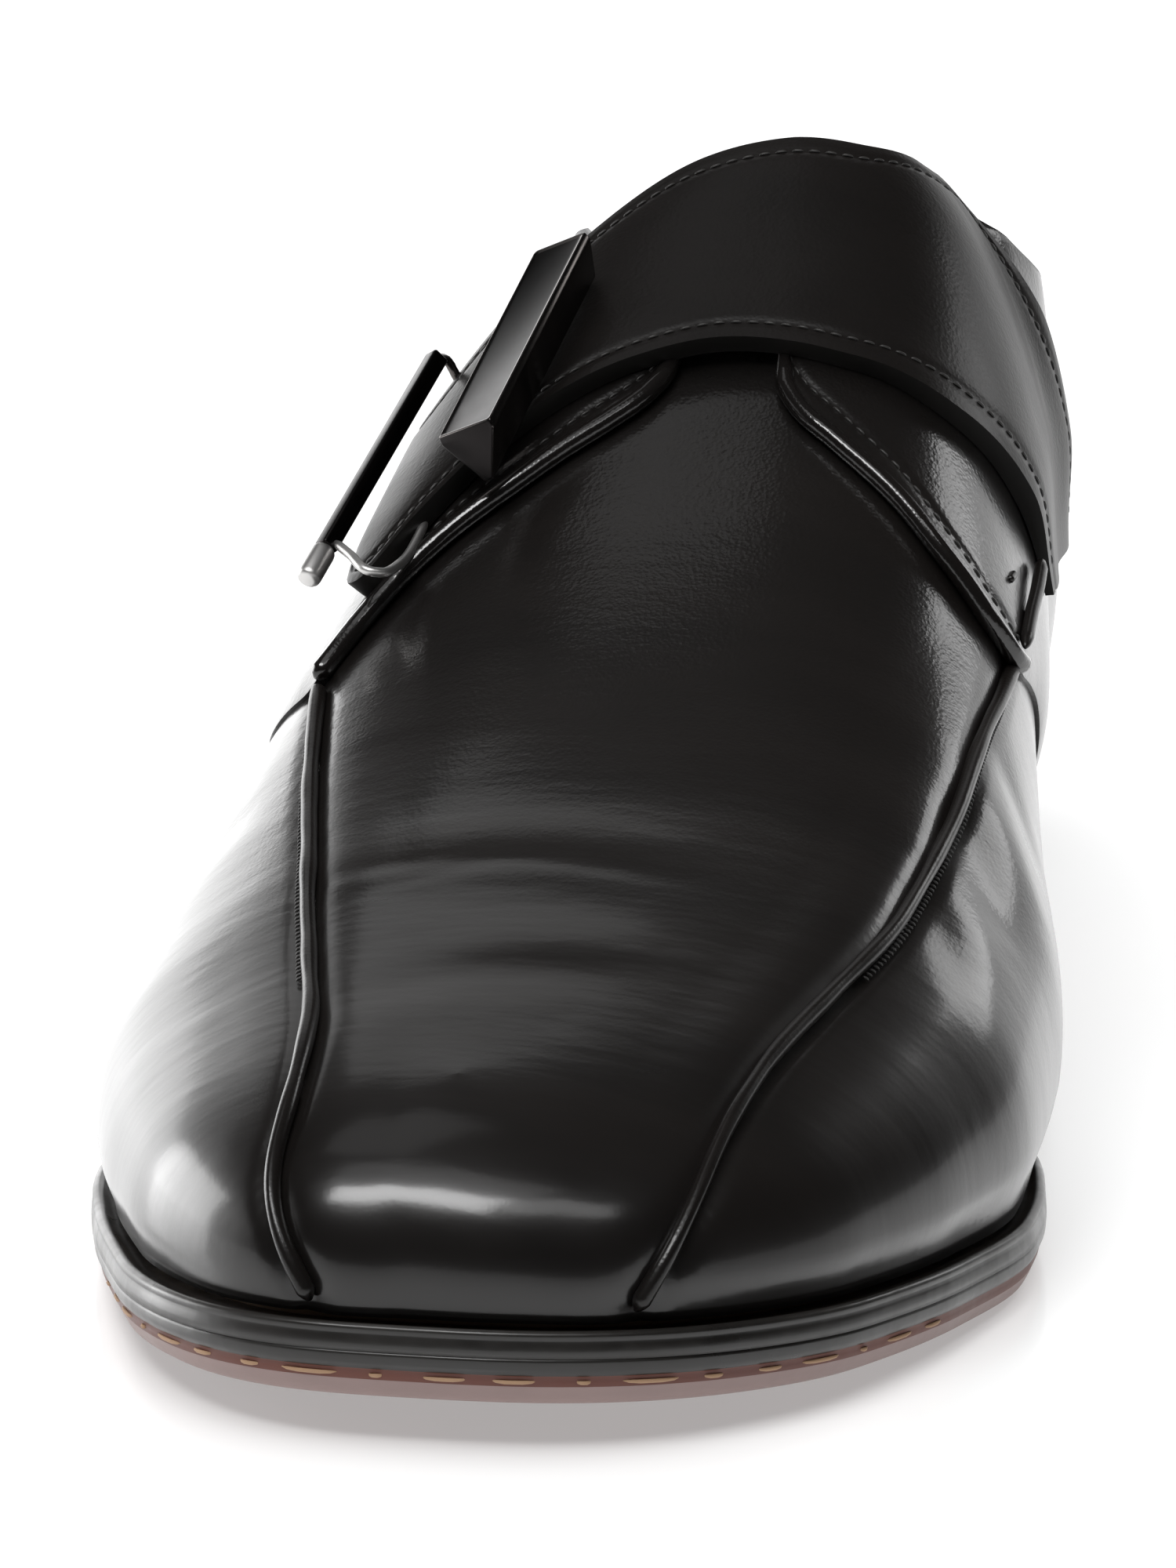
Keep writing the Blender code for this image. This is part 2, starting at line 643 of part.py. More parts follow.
def surface_frame(first, second, lift):
    # Middle point, direction, normal and side between two places on the surface.
    start = last_surface(np.array(first[0]), np.array(first[1]), np.array(lift))
    end = last_surface(np.array(second[0]), np.array(second[1]), np.array(lift))
    middle_run = (first[0] + second[0]) / 2
    middle_across = (first[1] + second[1]) / 2
    low = last_surface(np.array(middle_run), np.array(middle_across), np.array(0.1))
    high = last_surface(np.array(middle_run), np.array(middle_across), np.array(1.1))
    along = Vector(end - start).normalized()
    normal = Vector(high - low)
    normal = (normal - along * normal.dot(along)).normalized()
    side = normal.cross(along).normalized()
    return Vector((start + end) / 2), along, normal, side, Vector(start), Vector(end)


def placed(middle, along, side, normal):
    turn = Matrix((along, side, normal)).transposed().to_4x4()
    return Matrix.Translation(middle * MM) @ turn


def make_buckle():
    length, width, depth = PLATE_SIZE
    middle, along, normal, side, start, end = surface_frame(*PLATE_ENDS, STRAP_TOP)
    lift = CLEAR + PLATE_SAG + depth / 2
    bpy.ops.mesh.primitive_cube_add(size=1.0)
    plate = bpy.context.object
    plate.name = plate.data.name = "buckle_plate"
    plate.data.transform(Matrix.Diagonal((length * MM, width * MM, depth * MM, 1.0)))
    plate.matrix_world = placed(middle + normal * lift, along, side, normal)
    bevel(plate, PLATE_EDGE)
    adopt(plate, gunmetal)

    middle, along, normal, side, start, end = surface_frame(*FRAME_ENDS, STRAP_TOP)
    outward = side if side.x < 0 else -side
    half = (end - start).length / 2
    high = normal * (FRAME_LIFT + FRAME_WIRE)
    low = normal * (CLEAR + FRAME_WIRE)
    corners = [
        middle - along * half + high,
        middle + along * half + high,
        middle + along * half + low - outward * FRAME_REACH,
        middle - along * half + low - outward * FRAME_REACH,
    ]
    frame = add_wire("buckle_frame", rounded_loop(corners, FRAME_CORNER), FRAME_WIRE)
    adopt(frame, gunmetal)
    tip = corners[0] - along * (FRAME_WIRE + CLEAR)
    bpy.ops.mesh.primitive_cylinder_add(vertices=16, radius=PIN_RADIUS * MM, depth=PIN_LENGTH * MM)
    pin = bpy.context.object
    pin.name = pin.data.name = "buckle_pin"
    pin.matrix_world = placed(tip - along * PIN_LENGTH / 2, normal, side, along)
    bevel(pin, PIN_EDGE)
    adopt(pin, bright_steel)


def rounded_loop(corners, radius):
    # Points of a closed loop whose corners are turned with a short curve.
    points = []
    for i, corner in enumerate(corners):
        before = (corners[i - 1] - corner).normalized() * radius
        after = (corners[(i + 1) % len(corners)] - corner).normalized() * radius
        for t in np.linspace(0, 1, 5):
            points.append(corner + before * (1 - t) ** 2 + after * t ** 2)
    return points


def add_wire(name, points, radius):
    curve = bpy.data.curves.new(name, "CURVE")
    curve.dimensions = "3D"
    curve.bevel_depth = radius * MM
    curve.bevel_resolution = 2
    spline = curve.splines.new("POLY")
    spline.points.add(len(points) - 1)
    for point, place in zip(spline.points, points):
        point.co = (*(place * MM), 1.0)
    spline.use_cyclic_u = True
    return bpy.data.objects.new(name, curve)


def adopt(piece, material):
    # Moves a finished object into the shoe's collection with its material.
    for home in list(piece.users_collection):
        home.objects.unlink(piece)
    shoe.objects.link(piece)
    piece.data.materials.clear()
    piece.data.materials.append(material)


clear_scene()
shoe = bpy.data.collections.new("buckle_loafer")
bpy.context.scene.collection.children.link(shoe)
black_leather = new_material("black_leather", (0.012, 0.011, 0.011), 0.32)
black_edge = new_material("black_edge", (0.015, 0.014, 0.014), 0.38)
sole_leather = new_material("sole_leather", (0.24, 0.07, 0.045), 0.6)
heel_leather = new_material("heel_leather", (0.016, 0.015, 0.015), 0.4)
heel_rubber = new_material("heel_rubber", (0.02, 0.02, 0.02), 0.7)
lining = new_material("lining", (0.33, 0.22, 0.13), 0.6)
gunmetal = new_material("gunmetal", (0.09, 0.085, 0.08), 0.25, 1.0)
bright_steel = new_material("bright_steel", (0.55, 0.54, 0.52), 0.2, 1.0)

make_sole()
make_welt()
make_upper()
make_tongue()
make_quarter("quarter_lateral", QUARTER_LATERAL, "lateral")
make_quarter("quarter_medial", QUARTER_MEDIAL, "medial")
make_seam("plug_seam_lateral", SEAM_LATERAL, SIGN["lateral"])
make_seam("plug_seam_medial", SEAM_MEDIAL, SIGN["medial"])
make_strap()
make_buckle()

middle = bpy.data.objects.new("shoe_middle", None)
shoe.objects.link(middle)
middle.location = (-MIDDLE_X * MM, -MIDDLE_Y * MM, 0.0)
for piece in list(shoe.objects):
    if piece is not middle:
        piece.parent = middle
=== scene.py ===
import bmesh
import bpy
import numpy as np
from math import cos, pi, radians, sin
from mathutils import Matrix, Vector
from mathutils.kdtree import KDTree


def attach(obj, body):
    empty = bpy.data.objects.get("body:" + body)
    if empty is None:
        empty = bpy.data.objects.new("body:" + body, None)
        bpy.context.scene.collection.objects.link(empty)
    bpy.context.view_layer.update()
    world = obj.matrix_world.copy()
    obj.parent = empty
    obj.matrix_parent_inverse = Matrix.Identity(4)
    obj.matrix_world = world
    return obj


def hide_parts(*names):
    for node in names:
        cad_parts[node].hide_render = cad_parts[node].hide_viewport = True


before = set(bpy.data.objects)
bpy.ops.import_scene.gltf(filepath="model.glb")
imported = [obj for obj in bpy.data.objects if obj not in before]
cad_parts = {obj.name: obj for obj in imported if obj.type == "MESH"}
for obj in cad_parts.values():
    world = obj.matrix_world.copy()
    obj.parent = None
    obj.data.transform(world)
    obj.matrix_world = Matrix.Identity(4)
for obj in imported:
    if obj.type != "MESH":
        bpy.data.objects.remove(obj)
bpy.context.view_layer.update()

print("frame loaded:", len(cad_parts), "nodes")

mm = 0.001
# the last, in millimetres; station counts from the back of the heel
lastShape = {
    "length": 298.0, "middleX": 2.0, "middleY": 0.5, "clear": 0.3, "tuck": 0.5,
    "ridgeEnd": 0.583, "ridgeFade": 0.09, "outlineSteps": 900, "lineKnots": 48,
    "swing": 7.0, "swingRows": (30.0, 115.0),   # the heel lies this far to the lateral side
    "heelRound": (33.0, 2.15), "toeRound": (30.0, 2.8),
    # station, lateral, medial, seat height, welt margin
    "soleRows": [
        (0, 33.0, 32.0, 27.6, 2.0), (30, 33.5, 32.0, 27.6, 2.0), (58, 34.0, 31.5, 27.2, 2.0),
        (90, 33.5, 30.0, 22.6, 2.2), (120, 35.5, 31.0, 16.4, 2.4), (150, 40.5, 37.0, 10.8, 2.8),
        (182, 46.0, 45.0, 7.6, 2.4), (212, 48.5, 52.3, 7.6, 2.3), (232, 47.0, 53.4, 8.0, 2.3),
        (252, 42.0, 49.6, 8.9, 2.4), (272, 34.5, 42.5, 10.2, 2.7), (286, 29.0, 36.0, 11.4, 3.0),
        (298, 25.0, 31.0, 12.6, 3.0)],
    # run, station, x lateral, x medial, z, full lateral, full medial, bulge lateral, bulge medial
    "columnRows": [
        (0.0, 274, 2.5, 2.5, 33.5, 2.9, 2.9, 0.4, 0.4), (0.062, 270, 2.8, 2.8, 34.5, 2.7, 2.7, 0.5, 0.5),
        (0.13, 260, 3.4, 3.4, 37, 2.5, 2.6, 0.8, 0.8), (0.204, 244, 4.4, 4.4, 41.5, 2.3, 2.5, 1.5, 1.5),
        (0.293, 218, 6.2, 6.2, 50, 2.3, 2.5, 2.2, 2.5), (0.396, 185, 8.6, 8.6, 64.5, 2.5, 2.6, 3, 5),
        (0.5, 150, 10, 10, 86, 2.6, 2.5, 2.2, 8), (0.583, 122, 9, 9, 103.5, 2.05, 2.15, 3, 10),
        (0.625, 113, -8, 25, 98, 1.75, 1.75, 3.8, 9.5), (0.675, 102, -21, 32, 86.5, 1.6, 1.6, 4.5, 7.5),
        (0.73, 84, -26.5, 31.5, 77.5, 1.35, 1.35, 5, 6.5), (0.8, 60, -27.5, 27.5, 73, 1.2, 1.2, 5, 5.5),
        (0.87, 34, -24, 23, 74.5, 1.15, 1.15, 4.8, 4.8), (0.935, 15, -14.5, 14, 77.5, 1.15, 1.15, 4.2, 4.2),
        (0.968, 9, -7.4, 7.2, 78.9, 1.15, 1.15, 4, 4), (1.0, 7, 0, 0, 79.4, 1.15, 1.15, 4, 4)],
}
columnNames = ["run", "station", "xLateral", "xMedial", "z",
               "fullLateral", "fullMedial", "bulgeLateral", "bulgeMedial"]
sideSign = {"Lateral": -1.0, "Medial": 1.0}
length = lastShape["length"]


def curveThrough(knots, values):
    # smooth curve that never overshoots between two rows
    knots, values = np.asarray(knots, float), np.asarray(values, float)
    steps = np.diff(knots)
    rises = np.diff(values) / steps
    slopes = np.concatenate([rises[:1], np.zeros(len(knots) - 2), rises[-1:]])
    for i in range(1, len(knots) - 1):
        if rises[i - 1] * rises[i] > 0:
            before, after = 2 * steps[i] + steps[i - 1], steps[i] + 2 * steps[i - 1]
            slopes[i] = (before + after) / (before / rises[i - 1] + after / rises[i])

    def value(at):
        at = np.clip(np.asarray(at, float), knots[0], knots[-1])
        i = np.clip(np.searchsorted(knots, at) - 1, 0, len(steps) - 1)
        t = (at - knots[i]) / steps[i]
        rest = 1 - t
        ends = values[i] * rest ** 2 * (1 + 2 * t) + values[i + 1] * t ** 2 * (3 - 2 * t)
        return ends + steps[i] * (slopes[i] * t * rest ** 2 - slopes[i + 1] * t ** 2 * rest)
    return value


def tableCurve(rows, column=1, key=0):
    table = np.asarray(rows, float)
    return curveThrough(table[:, key], table[:, column])


def softStep(low, high, value):
    t = np.clip((value - low) / (high - low), 0, 1)
    return t * t * (3 - 2 * t)


def softBand(rows, value):
    # grows between the first two places and fades between the last two
    return softStep(rows[0], rows[1], value) * softStep(rows[2], rows[3], value)


halfWidth = {side: tableCurve(lastShape["soleRows"], i + 1) for i, side in enumerate(sideSign)}
seatHeight, weltMargin = [tableCurve(lastShape["soleRows"], i) for i in (3, 4)]
columnTable = np.array(lastShape["columnRows"], float)
columnCurve = {name: tableCurve(columnTable, i) for i, name in enumerate(columnNames) if i}
ridgeTable = columnTable[columnTable[:, 0] <= lastShape["ridgeEnd"]][::-1]
ridgeHeight = tableCurve(ridgeTable, 4, key=1)


def endRounding(distance, reach, power):
    t = np.clip(1 - distance / reach, 0, 1)
    return (1 - t ** power) ** (1 / power)


def sideLine(side, inset):
    # plan line of one side from toe centre to heel centre, moved in by the inset
    station = length * (1 + np.cos(np.linspace(0, pi, lastShape["outlineSteps"]))) / 2
    x = halfWidth[side](station) * endRounding(station, *lastShape["heelRound"])
    x = x * endRounding(length - station, *lastShape["toeRound"])
    dx, ds = np.gradient(x), np.gradient(station)
    size = np.hypot(dx, ds)
    outX, outS = -ds / size, dx / size
    amount = inset(station) if callable(inset) else inset
    x, station = np.maximum(x - outX * amount, 0.0), station - outS * amount
    x[0] = x[-1] = 0.0
    run = np.concatenate([[0.0], np.cumsum(np.hypot(np.diff(x), np.diff(station)))])
    return run / run[-1], x, station, outX, outS


baseLine = {side: sideLine(side, weltMargin) for side in sideSign}


def inPlan(x, station):
    # place in the frame of a point across and along the last, with the heel's swing
    swing = -lastShape["swing"] * softStep(lastShape["swingRows"][1], lastShape["swingRows"][0], station)
    return x + swing - lastShape["middleX"], length / 2 - station - lastShape["middleY"]


def ridgeSlope(run):
    station = np.minimum(columnCurve["station"](run), ridgeTable[-1, 1] - 1.0)
    slope = (ridgeHeight(station + 1.0) - ridgeHeight(station - 1.0)) / 2.0
    fade = lastShape["ridgeFade"]
    return slope * np.clip((lastShape["ridgeEnd"] + fade - run) / fade, 0, 1)


def lastSide(side, run, rise):
    # outer face of the upper: rise is 0 at the seat and 1 at the ridge or collar
    lineRun, lineX, lineS, lineOutX, lineOutS = baseLine[side]
    baseX, baseS = np.interp(run, lineRun, lineX), np.interp(run, lineRun, lineS)
    outX, outS = np.interp(run, lineRun, lineOutX), np.interp(run, lineRun, lineOutS)
    baseZ = seatHeight(baseS) + lastShape["clear"]
    topX = columnCurve["x" + side](run) * sideSign[side]
    topS, topZ = columnCurve["station"](run), columnCurve["z"](run)
    full = columnCurve["full" + side](run)
    angle = np.clip(rise, 0, 1) * pi / 2
    share = np.cos(angle).clip(0, 1) ** (2 / full)
    lift = np.sin(angle).clip(0, 1) ** (2 / full)
    tuck = np.sin(np.minimum(lift / lastShape["tuck"], 1) * pi / 2)
    swell = columnCurve["bulge" + side](run) * share * tuck
    x = topX + (baseX - topX) * share + outX * swell
    s = topS + (baseS - topS) * share + outS * swell
    slope = ridgeSlope(run)
    fall = topZ + slope * (baseS - topS) - baseZ
    z = topZ + slope * (s - topS) - fall * (1 - lift)
    return np.stack([*inPlan(x * sideSign[side], s), z], axis=-1)


def lastPoint(run, across):
    rise = 1 - np.abs(across)
    return np.where((across < 0)[..., None], lastSide("Lateral", run, rise), lastSide("Medial", run, rise))


def lastNormal(run, across):
    step, edge = 0.004, 1e-4
    low = np.where(across < 0, np.minimum(across + step, -edge), across - step)
    low = np.where((across >= 0) & (low < 0) & (run > lastShape["ridgeEnd"]), edge, low)
    high = np.clip(np.where(across < 0, across - step, across + step), -1, 1)
    along = lastPoint(np.clip(run + step, 0, 1), across) - lastPoint(np.clip(run - step, 0, 1), across)
    over = lastPoint(run, high) - lastPoint(run, low)
    over = np.where((across < 0)[..., None], -over, over)
    normal = np.cross(over, along)
    return normal / np.maximum(np.linalg.norm(normal, axis=-1, keepdims=True), 1e-9)


def onLast(run, across, lift=0.0):
    # point over the upper; across is -1 lateral, 0 ridge, 1 medial
    run, across, lift = np.broadcast_arrays(*(np.asarray(value, float) for value in (run, across, lift)))
    return lastPoint(run, across) + lastNormal(run, across) * lift[..., None]


def riseAt(side, run, height):
    station = np.interp(run, baseLine[side][0], baseLine[side][2])
    share = height / (columnCurve["z"](run) - seatHeight(station))
    return np.arcsin(np.clip(share, 0, 1) ** (columnCurve["full" + side](run) / 2)) * 2 / pi


def linePlaces(rows, side, count, smoothing):
    # run and across along a line of (run, rise) rows, evenly spaced and with its corners taken out
    places = np.array(rows, float)
    corners = onLast(places[:, 0], sideSign[side] * (1 - places[:, 1]))
    steps = np.linalg.norm(np.diff(corners, axis=0), axis=1)
    knots = np.concatenate([[0.0], np.cumsum(steps)]) / steps.sum()
    share = np.linspace(0, 1, lastShape["lineKnots"])
    run, rise = curveThrough(knots, places[:, 0])(share), curveThrough(knots, places[:, 1])(share)
    for i in range(smoothing):
        run[1:-1] = (run[:-2] + 2 * run[1:-1] + run[2:]) / 4
        rise[1:-1] = (rise[:-2] + 2 * rise[1:-1] + rise[2:]) / 4
    fine = np.linspace(0, 1, count)
    return curveThrough(share, run)(fine), sideSign[side] * (1 - curveThrough(share, rise)(fine))


# mesh helpers, all sizes in millimetres
sheetWeld, ringWeld = 0.004, 0.002
footMiddle = 0.85, 0.045     # share of the length and height in metres of the line that faces look away from


def unit(vectors):
    return vectors / np.linalg.norm(vectors, axis=1, keepdims=True)


def pathLengths(path):
    return np.concatenate([[0.0], np.cumsum(np.linalg.norm(np.diff(path, axis=0), axis=1))])


def gridFaces(rows, columns, closed=False):
    i, j = np.meshgrid(np.arange(rows - 1), np.arange(columns if closed else columns - 1), indexing="ij")
    k = (j + 1) % columns
    corners = [i * columns + j, i * columns + k, (i + 1) * columns + k, (i + 1) * columns + j]
    return np.stack(corners, axis=-1).reshape(-1, 4)


def endCaps(rings, sides):
    return [list(range(sides))[::-1], list(range((rings - 1) * sides, rings * sides))]


def editMesh(piece, change):
    body = bmesh.new()
    body.from_mesh(piece.data)
    change(body)
    body.to_mesh(piece.data)
    body.free()


def makePiece(name, points, faces, materials, faceMaterial=None, smooth=True, weld=0.0):
    mesh = bpy.data.meshes.new(name)
    places = np.asarray(points, float).reshape(-1, 3) * mm
    mesh.from_pydata(places.tolist(), [], [tuple(int(v) for v in face) for face in faces])
    for material in materials if isinstance(materials, (list, tuple)) else [materials]:
        mesh.materials.append(material)
    if faceMaterial is not None:
        mesh.polygons.foreach_set("material_index", np.asarray(faceMaterial, np.int32))
    mesh.polygons.foreach_set("use_smooth", [smooth] * len(mesh.polygons))
    piece = bpy.data.objects.new(name, mesh)
    bpy.context.scene.collection.objects.link(piece)

    def joinClose(body):
        bmesh.ops.remove_doubles(body, verts=body.verts, dist=weld * mm)
        bmesh.ops.dissolve_degenerate(body, edges=body.edges, dist=1e-7)
    if weld:
        editMesh(piece, joinClose)
    mesh.update()
    return piece


def closeNormals(body):
    bmesh.ops.recalc_face_normals(body, faces=body.faces)


def faceOutward(body):
    # turns an open sheet so that its faces look away from the inside of the shoe
    closeNormals(body)
    votes = 0.0
    for face in body.faces:
        centre = face.calc_center_median()
        inside = Vector((0.0, centre.y * footMiddle[0], footMiddle[1]))
        votes += face.normal.dot(centre - inside) * face.calc_area()
    if votes < 0:
        bmesh.ops.reverse_faces(body, faces=body.faces)


def makeSheet(name, points, faces, materials, thickness, edge=0.0, innerMaterial=0, rimMaterial=0):
    # open sheet thickened towards the inside, with its edges rounded
    piece = makePiece(name, points, faces, materials, weld=sheetWeld)
    editMesh(piece, faceOutward)
    wall = piece.modifiers.new("wall", "SOLIDIFY")
    wall.thickness, wall.offset, wall.use_quality_normals = thickness * mm, -1.0, True
    wall.material_offset, wall.material_offset_rim = innerMaterial, rimMaterial
    if edge:
        roundEdges(piece, edge)
    return piece


def makeSolid(name, rings, materials, faceMaterial=None, faces=None):
    # rings joined to a closed body; without other faces its two ends are capped
    count, sides = rings.shape[:2]
    faces = gridFaces(count, sides, closed=True).tolist() + (faces or endCaps(count, sides))
    piece = makePiece(name, rings, faces, materials, faceMaterial)
    editMesh(piece, closeNormals)
    return piece


def roundEdges(piece, width, angle=50):
    edge = piece.modifiers.new("edge", "BEVEL")
    edge.width, edge.segments, edge.use_clamp_overlap = width * mm, 3, True
    edge.limit_method, edge.angle_limit = "ANGLE", radians(angle)


def seat(piece, slotName, *nodes):
    # rides on the shoe and stands for the CAD nodes named
    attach(piece, "root")
    if nodes:
        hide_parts(*nodes)


def tubePoints(path, normal, across, along, sides=10):
    # rings of an oval tube; across and along are its half width and half height
    path = np.asarray(path, float)
    tangent = unit(np.gradient(path, axis=0))
    normal = unit(normal - tangent * np.sum(normal * tangent, axis=1, keepdims=True))
    side = np.cross(tangent, normal)
    angle = np.linspace(0, 2 * pi, sides, endpoint=False)
    across, along = np.broadcast_to(across, len(path)), np.broadcast_to(along, len(path))
    ring = side[:, None] * (np.cos(angle)[None, :, None] * across[:, None, None])
    ring = ring + normal[:, None] * (np.sin(angle)[None, :, None] * along[:, None, None])
    return path[:, None] + ring


def makeTube(name, path, normal, across, along, material, sides=10):
    # the first and last few rings narrow to round ends
    count, endRings = len(path), 3
    near = np.minimum(np.arange(count), np.arange(count)[::-1])
    ends = np.sqrt(np.clip((near + 0.15) / endRings, 0.02, 1))
    return makeSolid(name, tubePoints(path, normal, across * ends, along * ends, sides), material)


def evenPath(path, step, first=0.0):
    # places at equal steps along a dense path, as index positions
    lengths = pathLengths(path)
    return np.interp(np.arange(first, lengths[-1] - first, step), lengths, np.arange(len(path)))


def sampleAt(values, index):
    low = np.clip(np.floor(index).astype(int), 0, len(values) - 2)
    t = (index - low)[:, None]
    return values[low] * (1 - t) + values[low + 1] * t


def makeStitches(name, path, normal, stitch, material, turn=0.0):
    # short rounded stitches along a path, joined in one mesh; turn leans them off the path
    path, normal = np.asarray(path, float), np.asarray(normal, float)
    index = evenPath(path, stitch["pitch"], stitch["pitch"] / 2)
    place, up = sampleAt(path, index), sampleAt(normal, index)
    tangent = unit(sampleAt(np.gradient(path, axis=0), index))
    up = unit(up - tangent * np.sum(up * tangent, axis=1, keepdims=True))
    side = np.cross(tangent, up)
    lead = tangent * cos(turn) + side * sin(turn)
    cross = np.cross(up, lead)
    t = np.array([-1, -0.8, -0.4, 0, 0.4, 0.8, 1])
    width = np.sqrt(np.clip(1 - t ** 4, 0.06, 1))
    sag = -stitch["sink"] * t ** 4
    sides = 6
    angle = np.linspace(0, 2 * pi, sides, endpoint=False)
    wave = np.sin(np.arange(len(place)) * 2.4)     # a rate that doesn't seem to repeat
    reach = stitch["length"] / 2 * (1 + stitch.get("uneven", 0.0) * wave)
    body = place[:, None, None] + lead[:, None, None] * (t[None, :, None] * reach[:, None, None])[:, :, None]
    body = body + cross[:, None, None] * (width[:, None] * np.cos(angle) * stitch["radius"])[..., None]
    rise = width[:, None] * np.sin(angle) * stitch["radius"] + sag[:, None]
    body = body + up[:, None, None] * rise[..., None]
    one = gridFaces(len(t), sides, closed=True)
    caps = np.array(endCaps(len(t), sides))
    faces = []
    for k in range(len(place)):
        offset = k * len(t) * sides
        faces += (one + offset).tolist() + (caps + offset).tolist()
    return makePiece(name, body, faces, material)


def stitchGroove(look, fromEdge):
    # groove that a row of stitches lies in
    return look["grooveDepth"] * np.exp(-((fromEdge - look["stitchIn"]) / look["grooveWidth"]) ** 2)


# materials
def newMaterial(name, colour, roughness, metallic=0.0, coat=0.0, coatRoughness=0.1, specular=0.5):
    material = bpy.data.materials.new(name)
    material.use_nodes = True
    shader = material.node_tree.nodes["Principled BSDF"]
    values = {"Base Color": (*colour, 1.0), "Roughness": roughness, "Metallic": metallic,
              "Coat Weight": coat, "Coat Roughness": coatRoughness, "Specular IOR Level": specular}
    for socket, value in values.items():
        shader.inputs[socket].default_value = value
    return material, shader


def addNode(owner, kind, sources=None, **values):
    # node of a material or world with its settings, and with its inputs joined to the sources
    node = owner.node_tree.nodes.new(kind)
    for key, value in values.items():
        if key in node.inputs:
            node.inputs[key].default_value = value
        else:
            setattr(node, key, value)
    for key, source in (sources or {}).items():
        join(owner, source, node.inputs[key])
    return node


def join(owner, source, target):
    owner.node_tree.links.new(source, target)


def addRange(owner, source, fromPair=(0.0, 1.0), toPair=(0.0, 1.0), kind="LINEAR"):
    # carries a value from one pair of ends to another
    node = addNode(owner, "ShaderNodeMapRange", {"Value": source}, interpolation_type=kind)
    for end, pair in (("From", fromPair), ("To", toPair)):
        node.inputs[end + " Min"].default_value, node.inputs[end + " Max"].default_value = pair
    return node.outputs["Result"]


def leatherMaterial(look):
    # fine grain as bump over a wave drawn out in streaks, with uneven polish and tone;
    # fadeY gives the two places between which the grain fades towards the toe
    material, shader = newMaterial(look["name"], look["colour"], look["roughness"][0], coat=look["coat"],
                                   coatRoughness=look["coatRoughness"], specular=look["specular"])
    place = addNode(material, "ShaderNodeTexCoord").outputs["Object"]
    drawn = addNode(material, "ShaderNodeMapping", {"Vector": place}, Scale=look["drawn"]).outputs["Vector"]
    scale = look["grainScale"]
    cells = addNode(material, "ShaderNodeTexVoronoi", {"Vector": place}, Scale=scale, feature="F1")
    ripple = addNode(material, "ShaderNodeTexNoise", {"Vector": place},
                     Scale=scale * look["ripple"], Detail=2.0)
    mixed = addNode(material, "ShaderNodeMath", {0: cells.outputs["Distance"], 2: ripple.outputs["Fac"]},
                    operation="MULTIPLY_ADD")
    mixed.inputs[1].default_value = look["cells"]
    bump = addNode(material, "ShaderNodeBump", {"Height": mixed.outputs[0]},
                   Strength=look["grain"], Distance=look["grainDepth"] * mm)
    if look["streak"]:
        wave = addNode(material, "ShaderNodeTexNoise", {"Vector": drawn},
                       Scale=look["streakScale"], Detail=3.0, Roughness=0.55)
        waving = addNode(material, "ShaderNodeBump", {"Height": wave.outputs["Fac"]},
                         Strength=look["streak"], Distance=look["streakDepth"] * mm)
        join(material, waving.outputs["Normal"], bump.inputs["Normal"])
    if look["fadeY"]:
        split = addNode(material, "ShaderNodeSeparateXYZ", {0: place})
        fade = addRange(material, split.outputs["Y"], look["fadeY"], (look["grainToe"], look["grain"]))
        join(material, fade, bump.inputs["Strength"])
    cloud = addNode(material, "ShaderNodeTexNoise", {"Vector": drawn},
                    Scale=look["cloudScale"], Detail=4.0, Roughness=0.6).outputs["Fac"]
    polish = addRange(material, cloud, look["cloudRange"], look["roughness"])
    tone = addNode(material, "ShaderNodeMix", {"Factor": cloud}, data_type="RGBA",
                   A=(*look["colour"], 1.0), B=(*look["colourWorn"], 1.0))
    join(material, polish, shader.inputs["Roughness"])
    join(material, tone.outputs["Result"], shader.inputs["Base Color"])
    for socket in ("Normal", "Coat Normal"):
        join(material, bump.outputs["Normal"], shader.inputs[socket])
    return material


leatherGrain = {"ripple": 0.6, "cells": 0.6, "cloudRange": (0.3, 0.7)}   # for every leather
vampLook = {**leatherGrain, "name": "vampLeather", "colour": (0.0042, 0.004, 0.004),
            "colourWorn": (0.0085, 0.0068, 0.006), "roughness": (0.26, 0.38),
            "coat": 0.8, "coatRoughness": 0.16, "specular": 0.25,
            "grain": 0.34, "grainToe": 0.04, "grainScale": 2200.0, "grainDepth": 0.09, "cloudScale": 60.0,
            "drawn": (0.25, 1.0, 0.3), "streak": 0.24, "streakScale": 150.0, "streakDepth": 0.4,
            "fadeY": (-0.1, -0.02)}
strapLook = dict(vampLook, name="strapLeather", grain=0.3, streak=0.12, roughness=(0.32, 0.44),
                 coat=0.08, specular=0.2, fadeY=None)
cordLook = dict(vampLook, name="cordLeather", grain=0.2, streak=0.0, roughness=(0.24, 0.4),
                coat=0.3, fadeY=None)
beadLook = dict(cordLook, name="beadLeather", roughness=(0.16, 0.26), coat=1.0, coatRoughness=0.06)
liningLook = {**leatherGrain, "name": "liningLeather", "colour": (0.21, 0.125, 0.07),
              "colourWorn": (0.29, 0.18, 0.105), "roughness": (0.5, 0.65),
              "coat": 0.0, "coatRoughness": 0.3, "specular": 0.35,
              "grain": 0.3, "grainScale": 1200.0, "grainDepth": 0.1, "cloudScale": 22.0,
              "drawn": (1.0, 1.0, 1.0), "streak": 0.0, "fadeY": None}
edgeLook = dict(liningLook, name="dressedEdge", colour=(0.006, 0.0057, 0.0057),
                colourWorn=(0.018, 0.016, 0.014), roughness=(0.24, 0.5), coat=0.3, coatRoughness=0.2,
                specular=0.45, grainScale=420.0, grainDepth=0.14, cloudScale=90.0)
